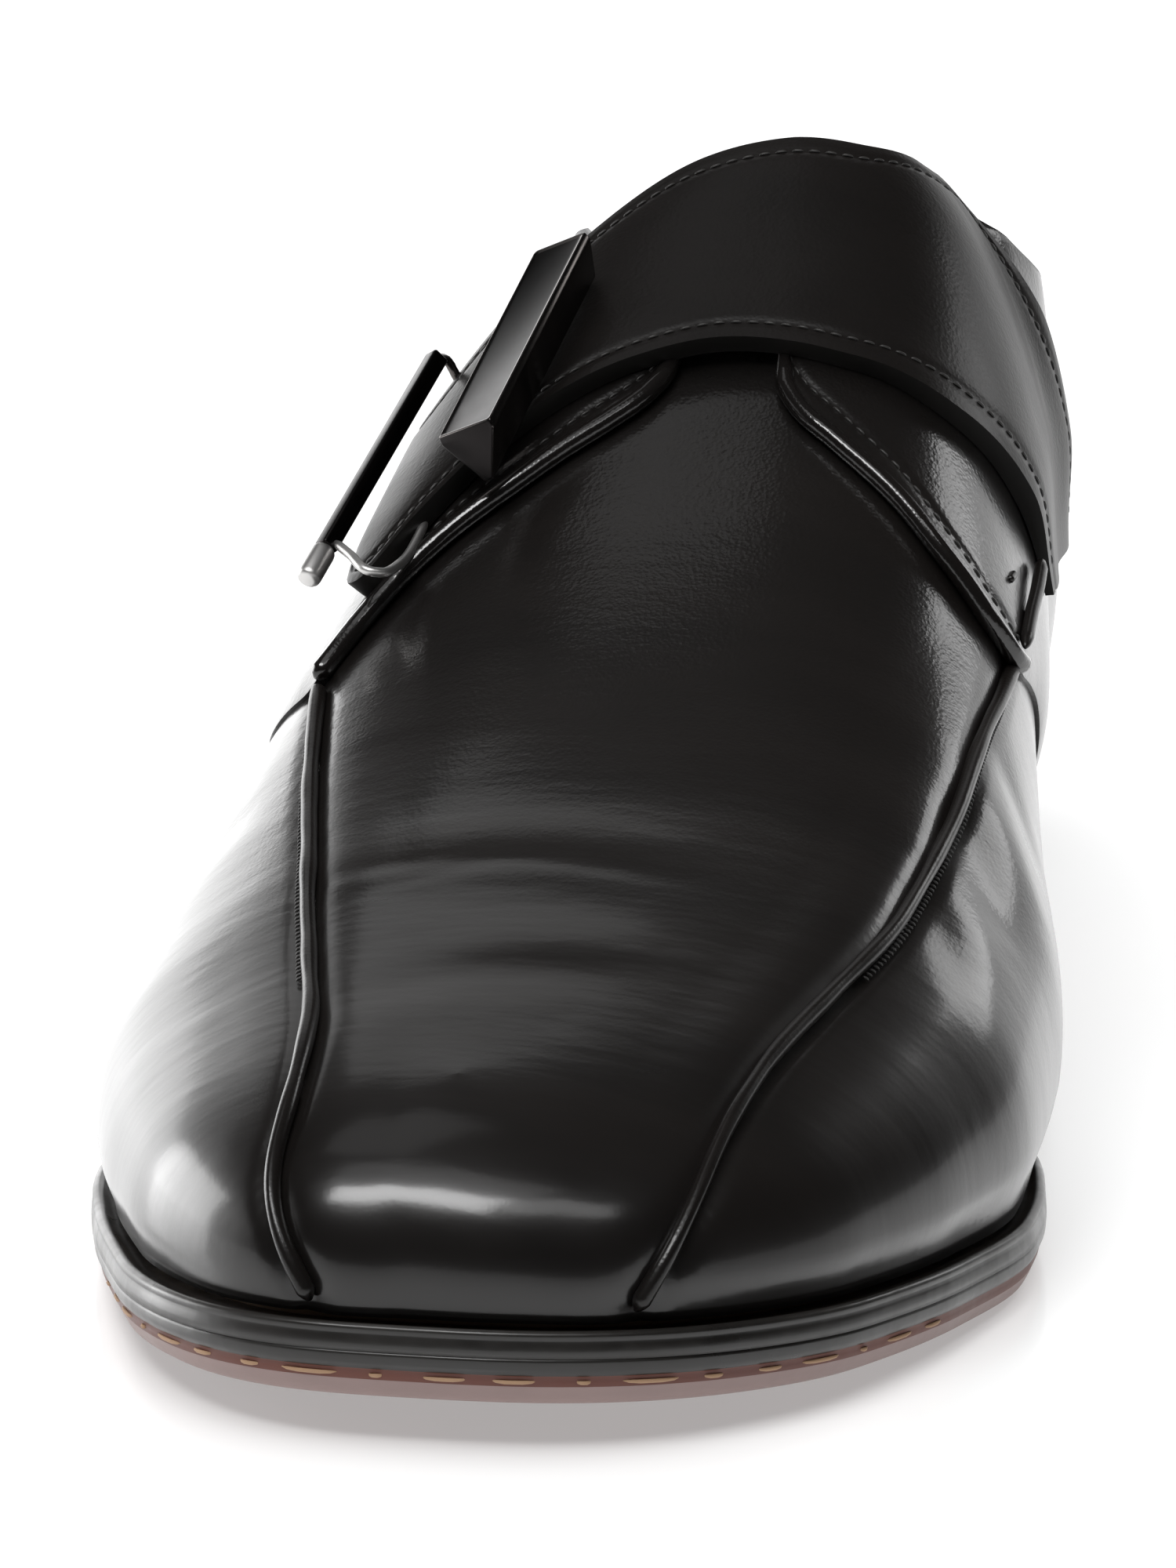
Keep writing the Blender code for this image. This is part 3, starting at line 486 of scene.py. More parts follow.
cutLook = dict(edgeLook, name="cutEdge", colour=(0.004, 0.0038, 0.0038), colourWorn=(0.008, 0.007, 0.006),
               roughness=(0.45, 0.6), coat=0.0, specular=0.2)
soleLook = dict(liningLook, name="soleLeather", colour=(0.09, 0.024, 0.018), colourWorn=(0.17, 0.06, 0.04),
                roughness=(0.4, 0.62), coat=0.1, specular=0.4,
                grain=0.35, grainScale=500.0, grainDepth=0.15, cloudScale=45.0)
rimLook = dict(soleLook, name="bareRim", colour=(0.25, 0.175, 0.165), colourWorn=(0.36, 0.265, 0.25),
               cloudScale=70.0)
rubberLook = dict(liningLook, name="heelRubber", colour=(0.014, 0.014, 0.014), colourWorn=(0.03, 0.03, 0.03),
                  roughness=(0.55, 0.75), grain=0.4, grainScale=700.0, grainDepth=0.12, cloudScale=50.0)
vampLeather, strapLeather, cordLeather, beadLeather, liningLeather = [
    leatherMaterial(look) for look in (vampLook, strapLook, cordLook, beadLook, liningLook)]
dressedEdge, cutEdge, soleLeather, bareRim, heelRubber = [
    leatherMaterial(look) for look in (edgeLook, cutLook, soleLook, rimLook, rubberLook)]
waxThread = newMaterial("waxThread", (0.022, 0.021, 0.02), 0.42)[0]
soleThread = newMaterial("soleThread", (0.4, 0.25, 0.15), 0.7)[0]


def metalMaterial(name, colour, roughness, scratch):
    # plated metal with a faint brushed unevenness
    material, shader = newMaterial(name, colour, roughness, metallic=1.0)
    place = addNode(material, "ShaderNodeTexCoord").outputs["Object"]
    haze = addNode(material, "ShaderNodeTexNoise", {"Vector": place}, Scale=260.0, Detail=5.0)
    spread = addRange(material, haze.outputs["Fac"], toPair=(roughness - scratch, roughness + scratch))
    join(material, spread, shader.inputs["Roughness"])
    return material


gunmetal = metalMaterial("gunmetal", (0.11, 0.1, 0.096), 0.22, 0.06)
# near-black metal for the buckle's bar and the plate's sunk top face; on the plate's end faces it is painted
# shade
darkFace = metalMaterial("darkFace", (0.022, 0.02, 0.02), 0.32, 0.08)
brightSteel = metalMaterial("brightSteel", (0.72, 0.71, 0.7), 0.42, 0.06)
print("materials ready")

# upper
upperLook = {
    "columns": 284, "rows": 74, "wall": 2.0, "throatStart": 0.5,
    # run, rise of the opening's edge
    "throat": {
        "Lateral": [(0.5, 0.995), (0.515, 0.945), (0.545, 0.81), (0.583, 0.69), (0.63, 0.705), (0.68, 0.85),
                    (0.74, 0.985), (0.79, 1.0), (1.0, 1.0)],
        "Medial": [(0.5, 0.995), (0.515, 0.945), (0.545, 0.85), (0.583, 0.77), (0.63, 0.775), (0.68, 0.885),
                   (0.74, 0.985), (0.79, 1.0), (1.0, 1.0)]},
    "ridgeSmoothing": 76, "ridgePad": 24, "ridgeAcross": (0.6, 0.2), "ridgeRun": (0.46, 0.34),
    "swell": {"Lateral": 1.1, "Medial": 1.2},
    "swellRise": (0.0, 0.09, 0.55, 0.22), "swellRun": (0.04, 0.14, 0.45, 0.3),
    "plugPuff": 0.25, "puffRows": (0, 3, 11, 4), "seamSink": 0.4, "sinkWidth": 1.5, "seamReach": 25,
    "groove": 0.3, "grooveAt": 1.35, "grooveWidth": 0.7, "grooveReach": 5,
    "creaseSteps": 40, "creaseTaper": 0.7,
    # run, across at both ends, depth, half width: soft troughs where the foot bends, negative is a ridge
    "creases": [
        (0.318, -0.34, 0.312, 0.26, 0.14, 6.0),
        (0.282, -0.22, 0.29, 0.34, 0.16, 7.0),
        (0.352, -0.1, 0.338, 0.36, 0.12, 5.0),
        (0.262, -0.3, 0.254, 0.16, -0.2, 4.0),
        (0.246, -0.33, 0.238, 0.12, 0.16, 1.5),
        (0.222, -0.3, 0.214, 0.12, 0.12, 5.0),
        (0.224, -0.31, 0.242, -0.05, 0.08, 1.4),
        (0.172, -0.14, 0.19, 0.16, -0.2, 4.5),
        (0.148, -0.22, 0.168, 0.14, 0.14, 4.0),
        (0.118, -0.24, 0.128, 0.1, -0.12, 4.5),
        (0.345, 0.44, 0.3, 0.66, 0.35, 3.5),
        (0.368, 0.47, 0.335, 0.72, -0.35, 3.5),
        (0.4, 0.52, 0.37, 0.76, 0.45, 3.5),
        (0.318, 0.44, 0.27, 0.62, -0.25, 4.0),
        (0.292, 0.46, 0.252, 0.6, 0.22, 3.0),
        (0.335, -0.52, 0.315, -0.78, 0.6, 5.0),
        (0.365, -0.56, 0.35, -0.8, 0.45, 4.5)],
}
seamLook = {
    # run, rise of the raised seams, from the seat at the toe to the throat's corner
    "Lateral": [(0.026, 0.02), (0.034, 0.16), (0.046, 0.337), (0.062, 0.577), (0.094, 0.677), (0.12, 0.709),
                (0.14, 0.717), (0.168, 0.697), (0.21, 0.681), (0.25, 0.661), (0.302, 0.613), (0.354, 0.561),
                (0.384, 0.522)],
    "Medial": [(0.068, 0.02), (0.08, 0.204), (0.098, 0.385), (0.11, 0.465), (0.128, 0.533), (0.15, 0.569),
               (0.188, 0.585), (0.25, 0.569), (0.312, 0.541), (0.362, 0.517), (0.41, 0.453), (0.455, 0.388)],
    "smoothing": 8, "steps": 420, "halfWidth": 0.85, "halfHeight": 1.0, "lift": 0.4,
    "wobble": 0.09, "waves": [(41, 1, 1.0), (73, 0, 0.6), (17, 2, 1.0)],   # rate, start, share
    "stitch": {"pitch": 0.9, "length": 0.9, "radius": 0.14, "sink": 0.15},
    "stitchFrom": 0.42, "stitchOut": 1.2, "stitchDrop": 0.4, "stitchLean": 78,
}
seamLine = {side: linePlaces(seamLook[side], side, seamLook["steps"], seamLook["smoothing"])
            for side in sideSign}


def nearestOnLine(points, line):
    # distance to a surface line and which side of it each point lies on, positive towards the ridge
    path, normal = onLast(*line), lastNormal(*line)
    side = unit(np.cross(np.gradient(path, axis=0), normal))
    tree = KDTree(len(path))
    for i, point in enumerate(path):
        tree.insert(Vector(point), i)
    tree.balance()
    found = [tree.find(Vector(point)) for point in points]
    index = np.array([hit[1] for hit in found])
    return np.array([hit[2] for hit in found]), np.sum((points - path[index]) * side[index], axis=1)


def upperRelief(run, across):
    # raised plug, sunk seams and bending creases as lift over the last
    points = onLast(run, across).reshape(-1, 3)
    lift = np.zeros(len(points))
    rise = 1 - np.abs(across)
    low = (softBand(upperLook["swellRise"], rise) * softBand(upperLook["swellRun"], run)).reshape(-1)
    for side, sign in sideSign.items():
        distance, inward = nearestOnLine(points, seamLine[side])
        onSide = (np.sign(across) == sign).reshape(-1)
        mine = onSide & (distance < upperLook["seamReach"])
        plugSide = np.where(sign < 0, inward, -inward)
        lift += upperLook["swell"][side] * low * onSide
        lift -= upperLook["seamSink"] * np.exp(-(distance / upperLook["sinkWidth"]) ** 2)
        groove = np.exp(-((plugSide + upperLook["grooveAt"]) / upperLook["grooveWidth"]) ** 2)
        lift -= mine * (distance < upperLook["grooveReach"]) * upperLook["groove"] * groove
        puff = upperLook["plugPuff"] * softBand(upperLook["puffRows"], distance)
        lift += np.where(mine & (plugSide > 0), puff, 0)
    share = np.linspace(0, 1, upperLook["creaseSteps"])
    for runA, acrossA, runB, acrossB, depth, width in upperLook["creases"]:
        line = onLast(runA + (runB - runA) * share, acrossA + (acrossB - acrossA) * share)
        gap = np.linalg.norm(points[:, None] - line[None], axis=2)
        taper = np.sin(np.clip(share[gap.argmin(axis=1)], 0.02, 0.98) * pi) ** upperLook["creaseTaper"]
        lift -= depth * taper * np.exp(-(gap.min(axis=1) / width) ** 2)
    return lift.reshape(run.shape)


def smoothRidge(lateral, medial, run, across):
    # takes the fold out of the ridge and the toe; the pad repeats the other side past the toe's centre
    rowCount, pad = lateral.shape[1], upperLook["ridgePad"]

    def wholeGrid(left, right):
        grid = np.concatenate([left, right[:, -2::-1]], axis=1)
        return np.concatenate([grid[pad:0:-1, ::-1], grid])
    grid = wholeGrid(lateral, medial)
    weight = softStep(*upperLook["ridgeAcross"], np.abs(across)) * softStep(*upperLook["ridgeRun"], run)
    weight = wholeGrid(weight, weight)[1:-1, 1:-1, None]
    for i in range(upperLook["ridgeSmoothing"]):
        mean = (grid[:-2, 1:-1] + grid[2:, 1:-1] + grid[1:-1, :-2] + grid[1:-1, 2:]) / 4
        grid[1:-1, 1:-1] += weight * (mean - grid[1:-1, 1:-1])
        grid[:pad] = grid[2 * pad:pad:-1, ::-1]
    grid = grid[pad:]
    return grid[:, :rowCount], grid[:, rowCount - 1:][:, ::-1]


def makeUpper():
    count, rowCount = upperLook["columns"], upperLook["rows"]
    columns = np.linspace(0, 1, count)
    rows = np.linspace(0, 1, rowCount)
    run = np.broadcast_to(columns[:, None], (count, rowCount))
    sheets, relief = {}, {}
    for side, sign in sideSign.items():
        throat = tableCurve(upperLook["throat"][side])(columns)
        top = np.where(columns <= upperLook["throatStart"], 1.0, throat)
        across = sign * np.maximum(1 - rows[None, :] * top[:, None], 1e-6)
        sheets[side] = onLast(run, across)
        relief[side] = lastNormal(run, across) * upperRelief(run, across)[..., None]
    joined = columns <= upperLook["throatStart"]
    sheets["Lateral"][joined], sheets["Medial"][joined] = smoothRidge(
        sheets["Lateral"][joined], sheets["Medial"][joined], run[joined], across[joined])
    for side in sideSign:
        sheets[side] = sheets[side] + relief[side]
    for where in ((0, slice(None)), (count - 1, slice(None)), (joined, rowCount - 1)):
        middle = (sheets["Lateral"][where] + sheets["Medial"][where]) / 2
        sheets["Lateral"][where] = sheets["Medial"][where] = middle
    points = np.concatenate([sheets["Lateral"].reshape(-1, 3), sheets["Medial"].reshape(-1, 3)])
    faces = gridFaces(count, rowCount)
    faces = np.concatenate([faces, faces[:, ::-1] + count * rowCount])
    leathers = [vampLeather, liningLeather]
    seat(makeSheet("vampShell", points, faces, leathers, upperLook["wall"], innerMaterial=1),
         "black_leather", "upper")


makeUpper()
print("upper ready")


def makeSeam(side):
    # cord under the seam's fold with its fine overcast stitches on the outer side
    run, across = seamLine[side]
    normal = lastNormal(run, across)
    path = onLast(run, across, seamLook["lift"])
    share = np.linspace(0, 1, len(run))
    waves = sum(size * np.sin(share * rate + start) for rate, start, size in seamLook["waves"])
    uneven = 1 + seamLook["wobble"] * waves / 2
    width, height = seamLook["halfWidth"] * uneven, seamLook["halfHeight"] * uneven
    cord = makeTube("plugCord" + side, path, normal, width, height, cordLeather, sides=14)
    seat(cord, "black_leather", "plug_seam_" + side.lower())
    away = unit(np.cross(np.gradient(path, axis=0), normal))
    outer = path + away * sideSign[side] * seamLook["stitchOut"] - normal * seamLook["stitchDrop"]
    first = int(seamLook["stitchFrom"] * len(path))
    stitches = makeStitches("plugStitches" + side, outer[first:], normal[first:], seamLook["stitch"],
                            waxThread, radians(seamLook["stitchLean"]))
    seat(stitches, "black_leather")


for side in sideSign:
    makeSeam(side)
print("seams ready")

# quarters with their rolled facing edges
quarterLook = {
    "thickness": 1.2, "under": 0.55, "foot": 2.2, "backSeam": 0.9996, "edge": 0.35,
    "rows": 70, "columns": 150,
    "spread": ((0.0, 0.4, 1.0), (0.0, 0.12, 1.0)),   # columns lie close at the front
    "sideLength": 330.0,   # of the whole side, to turn millimetres into run
    # run, rise of the front edge
    "Lateral": [(0.5, 0.02), (0.44, 0.22), (0.4, 0.4), (0.387, 0.52), (0.404, 0.58), (0.417, 0.63),
                (0.428, 0.69), (0.438, 0.76), (0.45, 0.826), (0.46, 0.878), (0.472, 0.918), (0.486, 0.935)],
    "Medial": [(0.565, 0.02), (0.52, 0.18), (0.482, 0.3), (0.46, 0.37), (0.446, 0.44), (0.44, 0.53),
               (0.441, 0.62), (0.448, 0.74), (0.458, 0.87), (0.474, 0.962), (0.49, 0.975)],
    # run, rise of the top edge
    "topLateral": [(0.472, 0.935), (0.486, 0.935), (0.53, 0.75), (0.583, 0.65), (0.63, 0.675), (0.68, 0.83),
                   (0.74, 0.965), (0.79, 0.985), (1.0, 0.985)],
    "topMedial": [(0.474, 0.975), (0.49, 0.975), (0.53, 0.84), (0.583, 0.75), (0.63, 0.75), (0.68, 0.86),
                  (0.74, 0.97), (0.79, 0.985), (1.0, 0.985)],
    "junction": {"Lateral": 0.515, "Medial": 0.375},   # rise where the plug seam meets the facing
    "skive": 1.25, "skiveReach": 4.0, "skiveRows": (0.06, -0.04),   # thinned below the junction
    "beadHalf": 1.15, "beadHeight": 1.2, "beadLift": 1.3, "beadSteps": 260,
    "stitch": {"pitch": 1.9, "length": 1.4, "radius": 0.16, "sink": 0.18},
    "stitchIn": 3.4, "stitchOver": 0.08, "stitchSkip": 6, "grooveDepth": 0.25, "grooveWidth": 0.7,
}


def makeQuarter(side):
    edgeRows = np.array(quarterLook[side])
    front, topEdge = tableCurve(edgeRows, 0, key=1), tableCurve(quarterLook["top" + side])
    spread = np.interp(np.linspace(0, 1, quarterLook["columns"]), *quarterLook["spread"])
    height, share = np.meshgrid(np.linspace(0, 1, quarterLook["rows"]), spread, indexing="ij")
    start = front(edgeRows[0, 1] + (edgeRows[-1, 1] - edgeRows[0, 1]) * height)
    run = start + (quarterLook["backSeam"] - start) * share
    low = riseAt(side, run, quarterLook["foot"])
    rise = low + (topEdge(run) - low) * height
    lift = quarterLook["under"] + quarterLook["thickness"]
    across = sideSign[side] * (1 - rise)
    inward = (run - start) * quarterLook["sideLength"]
    groove = stitchGroove(quarterLook, inward)
    junction = quarterLook["junction"][side]
    above, below = quarterLook["skiveRows"]
    thin = quarterLook["skive"] * np.exp(-inward / quarterLook["skiveReach"])
    thin = thin * softStep(junction + above, junction + below, rise)
    points = onLast(run, across, lift - thin - groove * (rise > junction))
    piece = makeSheet("quarter" + side, points, gridFaces(*run.shape), vampLeather,
                      quarterLook["thickness"], quarterLook["edge"])
    seat(piece, "black_leather", "quarter_" + side.lower())
    # the rolled bead follows the sheet's own front edge above the junction
    edgeRun, edgeAcross = run[:, 0], across[:, 0]
    fine, rowAt = np.linspace(0, 1, quarterLook["beadSteps"]), np.linspace(0, 1, len(edgeRun))
    edgeRun, edgeAcross = np.interp(fine, rowAt, edgeRun), np.interp(fine, rowAt, edgeAcross)
    keep = 1 - np.abs(edgeAcross) > junction
    edgeRun, edgeAcross = edgeRun[keep], edgeAcross[keep]
    normal = lastNormal(edgeRun, edgeAcross)
    path = onLast(edgeRun, edgeAcross, quarterLook["beadLift"])
    bead = makeTube("facingBead" + side, path, normal, quarterLook["beadHalf"], quarterLook["beadHeight"],
                    beadLeather, sides=14)
    seat(bead, "black_leather")
    inRun, skip = edgeRun + quarterLook["stitchIn"] / quarterLook["sideLength"], quarterLook["stitchSkip"]
    line = onLast(inRun, edgeAcross, lift - quarterLook["grooveDepth"] + quarterLook["stitchOver"])
    stitches = makeStitches("facingStitches" + side, line[skip:], lastNormal(inRun, edgeAcross)[skip:],
                            quarterLook["stitch"], waxThread)
    seat(stitches, "black_leather")


for side in sideSign:
    makeQuarter(side)
print("quarters ready")

# tongue
tongueLook = {
    "front": 0.475, "side": 0.66, "under": 3.0, "thickness": 2.0, "edge": 0.6,
    "rows": 50, "columns": 61, "tipRows": 16,
    # length past the ridge's end, share of the width
    "tip": [(1.2, 0.95), (2.4, 0.86), (3.5, 0.7), (4.2, 0.52), (4.6, 0.3)],
}


def makeTongue():
    runs = np.linspace(tongueLook["front"], lastShape["ridgeEnd"], tongueLook["rows"])
    share = np.linspace(-1, 1, tongueLook["columns"])
    run, across = np.meshgrid(runs, share * (1 - tongueLook["side"]), indexing="ij")
    rows = onLast(run, across, -tongueLook["under"])
    middle = len(share) // 2
    onward = unit(rows[-1:, middle] - rows[-2:-1, middle])
    steps = np.array([(0.0, 1.0)] + tongueLook["tip"])
    tipWidth = tableCurve(steps)
    tips = []
    for t in np.linspace(0, 1, tongueLook["tipRows"] + 1)[1:]:
        step = t * steps[-1, 0]
        width = tipWidth(step)
        inner = np.stack([np.interp(share * width, share, rows[-1][:, k]) for k in range(3)], axis=-1)
        tips.append(inner + onward * step)
    points = np.concatenate([rows, np.array(tips)])
    piece = makeSheet("tongueFlap", points, gridFaces(*points.shape[:2]), [vampLeather, liningLeather],
                      tongueLook["thickness"], tongueLook["edge"], innerMaterial=1)
    seat(piece, "black_leather", "tongue")


makeTongue()
print("tongue ready")

# strap over the instep
strapShape = {
    "top": 4.7, "thickness": 2.85, "width": 31.0, "endHeight": 54.0, "puff": 0.35, "edge": 0.7,
    "rows": 130, "columns": 72, "lineSteps": 300,
    "skive": 1.5, "skiveRows": (0.56, 0.7),   # the medial end is pared down and sewn on
    # across, front run, back run
    "outline": [(-0.45, 0.427, 0.497), (-0.435, 0.416, 0.5), (-0.41, 0.413, 0.505), (-0.35, 0.431, 0.517),
                (-0.23, 0.46, 0.536), (-0.1, 0.477, 0.553), (0.0, 0.484, 0.559), (0.1, 0.484, 0.563),
                (0.22, 0.487, 0.58), (0.34, 0.492, 0.612), (0.53, 0.512, 0.636), (0.7, 0.536, 0.648)],
    "stitch": {"pitch": 1.9, "length": 1.4, "radius": 0.16, "sink": 0.18},
    "stitchIn": 2.4, "stitchUnder": 0.06, "stitchSkip": 4, "grooveDepth": 0.22, "grooveWidth": 0.6,
}


def strapPlaces(rows, columns):
    table = np.array(strapShape["outline"])
    across = np.linspace(table[0, 0], table[-1, 0], rows)
    front, back = [tableCurve(table, k)(across) for k in (1, 2)]
    run = front[:, None] + (back - front)[:, None] * columns
    station = np.interp(run, baseLine["Medial"][0], baseLine["Medial"][2])
    end = 1 - riseAt("Medial", run, strapShape["endHeight"] - seatHeight(station))
    share = across[:, None] / table[-1, 0]
    pared = strapShape["skive"] * softStep(*strapShape["skiveRows"], across)[:, None]
    return run, np.where(share > 0, share * end, np.broadcast_to(across[:, None], run.shape)), pared


def makeStrap():
    columns = (1 - np.cos(np.linspace(0, pi, strapShape["columns"]))) / 2
    run, across, pared = strapPlaces(strapShape["rows"], columns)
    crown = strapShape["puff"] * (1 - np.abs(2 * columns - 1) ** 4) - strapShape["puff"]
    fromEdge = np.minimum(columns, 1 - columns) * strapShape["width"]
    crown = crown - stitchGroove(strapShape, fromEdge)
    points = onLast(run, across, strapShape["top"] + crown[None, :] - pared)
    wall = strapShape["thickness"] - strapShape["puff"]
    piece = makeSheet("strapBand", points, gridFaces(*run.shape), [strapLeather, cutEdge],
                      wall, strapShape["edge"], rimMaterial=1)
    group = piece.vertex_groups.new(name="wall")
    for i, part in enumerate(1 - pared[:, 0] / wall):
        group.add(list(range(i * len(columns), (i + 1) * len(columns))), part, "REPLACE")
    piece.modifiers["wall"].vertex_group = "wall"
    seat(piece, "black_leather", "strap")
    inset, skip = strapShape["stitchIn"] / strapShape["width"], strapShape["stitchSkip"]
    for name, share in (("Front", inset), ("Back", 1 - inset)):
        places = strapPlaces(strapShape["lineSteps"], np.array([share]))
        lineRun, lineAcross, pared = [values[:, 0] for values in places]
        lift = strapShape["top"] - strapShape["grooveDepth"] - strapShape["stitchUnder"] - pared
        line, normal = onLast(lineRun, lineAcross, lift), lastNormal(lineRun, lineAcross)
        stitches = makeStitches("strapStitches" + name, line[skip:-skip], normal[skip:-skip],
                                strapShape["stitch"], waxThread)
        seat(stitches, "black_leather")


# run, across, lift of the cord under the strap's end and of the tack beside it
cordLine = {"radius": 0.8, "steps": 30,
            "places": [(0.52, 0.64, 2.9), (0.5, 0.628, 2.8), (0.478, 0.613, 2.4), (0.457, 0.6, 2.1)]}
tackLine = {"radius": 0.45, "steps": 30, "places": [(0.474, 0.548, 1.85), (0.482, 0.562, 1.85)]}


def threadPath(places, count):
    # smooth path through places given as run, across and lift
    knots = onLast(*np.array(places).T)
    at = pathLengths(knots)
    fine = np.linspace(0, at[-1], count)
    path = np.stack([curveThrough(at, knots[:, k])(fine) for k in range(3)], axis=-1)
    normal = lastNormal(*np.array(places).T[:2])
    return path, np.stack([np.interp(fine, at, normal[:, k]) for k in range(3)], axis=-1)


makeStrap()
for name, line in (("strapCord", cordLine), ("facingTack", tackLine)):
    path, up = threadPath(line["places"], line["steps"])
    seat(makeTube(name, path, up, line["radius"], line["radius"], cordLeather), "black_leather")
print("strap ready")

# sole, welt and heel
soleShape = {
    "welt": 2.4, "step": 0.1, "outsole": 4.9, "ring": 150, "wall": 2.0,
    "breast": 74.0, "heelInset": 1.2, "topLift": 6.0, "heelSteps": 90, "breastSteps": 26,
    "lifts": 4, "liftEdge": (0.012, 0.05), "liftGroove": 0.16,
    # share of the height, inset of the wearing layer
    "topPieceProfile": [(0.0, 0.7), (0.08, 0.2), (0.2, 0.0), (0.9, 0.0), (0.98, 0.15), (1.0, 0.4)],
    "insoleClear": 0.7, "insoleProfile": [(0.0, -1.2), (0.0, 2.1), (0.5, 2.6), (9.0, 2.6), (20.0, 2.6)],
    # the edge is drawn in under the upper at the waist, growing and fading between these stations
    "waistTuck": {"Lateral": 1.6, "Medial": 2.2}, "tuckRows": (60.0, 100.0, 226.0, 192.0),
    # inset, height from the welt's top: a bead along the outer edge
    "weltProfile": [(None, -0.5), (2.4, -0.55), (1.9, -0.5), (1.5, -0.2), (1.1, 0.0), (0.75, 0.0),
                    (0.4, -0.2), (0.25, -0.55), (0.4, -0.85), (0.42, -1.0), (0.28, -1.3), (0.15, -1.9),
                    (0.1, -2.7), (1.2, -2.75), (None, -2.7)],
    # inset past the step, height from the outsole's top, 0 black edge, 1 stained, 2 bare rim
    "soleProfile": [(6.0, 0.0, 0), (0.05, 0.0, 0), (0.0, -0.4, 0), (0.05, -1.1, 0), (0.25, -1.6, 0),
                    (0.5, -1.8, 0), (0.6, -1.95, 1), (0.6, -2.4, 1), (0.65, -2.9, 1), (0.8, -3.15, 2),
                    (1.0, -3.7, 2), (1.4, -4.4, 2), (2.2, -4.85, 2), (3.2, -4.9, 1), (9.0, -4.9, 1),
                    (15.0, -4.9, 1), (21.0, -4.9, 1)],
    "heelEdge": 12.0, "heelEdgeInset": 3.0,   # the edge is black round the heel and this far past its breast
    "soleStitch": {"pitch": 6.8, "length": 3.6, "radius": 0.22, "sink": 0.26, "uneven": 0.65},
    "stitchFrom": 255.0, "stitchInset": 0.55, "stitchDepth": 2.45, "stitchTilt": 0.5, "stitchSteps": 400,
}


def outlineRing(inset, count, tucked=True):
    # closed ring round the sole, toe centre first; also the station of each point
    rings, stations = [], []
    edge = inset if callable(inset) else lambda s: inset
    for side in sideSign:
        tuck = soleShape["waistTuck"][side] if tucked else 0.0
        run, x, station = sideLine(side, lambda s: edge(s) + tuck * softBand(soleShape["tuckRows"], s))[:3]
        share = np.linspace(0, 1, count)
        share = share if side == "Lateral" else share[::-1][1:-1]
        px, ps = np.interp(share, run, x) * sideSign[side], np.interp(share, run, station)
        rings.append(np.stack(inPlan(px, ps), axis=-1))
        stations.append(ps)
    return np.concatenate(rings), np.concatenate(stations)


def ringStack(profile, drop, tucked=True):
    points = []
    for inset, height in profile:
        flat, station = outlineRing(inset, soleShape["ring"], tucked)
        points.append(np.concatenate([flat, (seatHeight(station) - drop + height)[:, None]], axis=1))
    return np.array(points)


def fillRing(start, around):
    # faces across a ring of the sole, from the toe's centre to the heel's
    faces = []
    for i in range(soleShape["ring"] - 1):
        corners = (i, i + 1, (around - i - 1) % around, (around - i) % around)
        faces.append([start + corner for corner in dict.fromkeys(corners)])
    return faces


def makeWelt():
    inner = lambda s: weltMargin(s) + soleShape["wall"]
    profile = [(inner if inset is None else inset, height) for inset, height in soleShape["weltProfile"]]
    rings = ringStack(profile, 0.0)
    rings = np.concatenate([rings, rings[:1]])
    piece = makePiece("weltRing", rings, gridFaces(*rings.shape[:2], closed=True), dressedEdge, weld=ringWeld)
    editMesh(piece, closeNormals)
    seat(piece, "black_edge", "welt")


def makeOutsole():
    drop = soleShape["welt"] + lastShape["clear"]
    profile = soleShape["soleProfile"]
    rings = ringStack([(inset + soleShape["step"], height) for inset, height, colour in profile], drop)
    count, around = rings.shape[:2]
    heelFront = length / 2 - lastShape["middleY"] - soleShape["breast"] - soleShape["heelEdge"]
    atHeel = rings[1, :, 1] > heelFront
    tint = []
    for inset, height, colour in profile[1:]:
        tint += [0 if heel and inset < soleShape["heelEdgeInset"] else colour for heel in atHeel]
    top, bottom = fillRing(0, around), fillRing((count - 1) * around, around)
    tint += [0] * len(top) + [1] * len(bottom)
    piece = makeSolid("outsoleLayer", rings, [dressedEdge, soleLeather, bareRim], tint, top + bottom)
    seat(piece, "sole_leather", "outsole")
    flat, station = outlineRing(soleShape["step"] + soleShape["stitchInset"], soleShape["stitchSteps"])
    path = np.concatenate([flat, (seatHeight(station) - drop - soleShape["stitchDepth"])[:, None]], axis=1)
    path = np.roll(path, soleShape["stitchSteps"] - 1, axis=0)     # starts at the heel's centre
    path = path[length / 2 - path[:, 1] - lastShape["middleY"] > soleShape["stitchFrom"]]
    outward = unit(np.cross(np.gradient(path, axis=0), np.array([0, 0, 1.0])))
    if np.sum(outward * (path - path.mean(axis=0))) < 0:
        outward = -outward
    outward = outward - np.array([0, 0, soleShape["stitchTilt"]])
    stitches = makeStitches("soleStitches", path, outward, soleShape["soleStitch"], soleThread)
    seat(stitches, "sole_leather")


def heelOutline(inset):
    # closed outline of the heel from the breast round the back, with its stations
    rows = {}
    for side in sideSign:
        x, station = sideLine(side, inset)[1:3]
        order = np.argsort(station)
        first = station.min()
        turn = np.linspace(0, pi / 2, soleShape["heelSteps"])
        s = first + (soleShape["breast"] - first) * (1 - np.cos(turn))
        rows[side] = np.stack([np.interp(s, station[order], x[order]) * sideSign[side], s], axis=-1)
    breast = np.linspace(rows["Medial"][-1], rows["Lateral"][-1], soleShape["breastSteps"])[1:-1]
    return np.concatenate([rows["Lateral"][::-1], rows["Medial"][1:], breast])


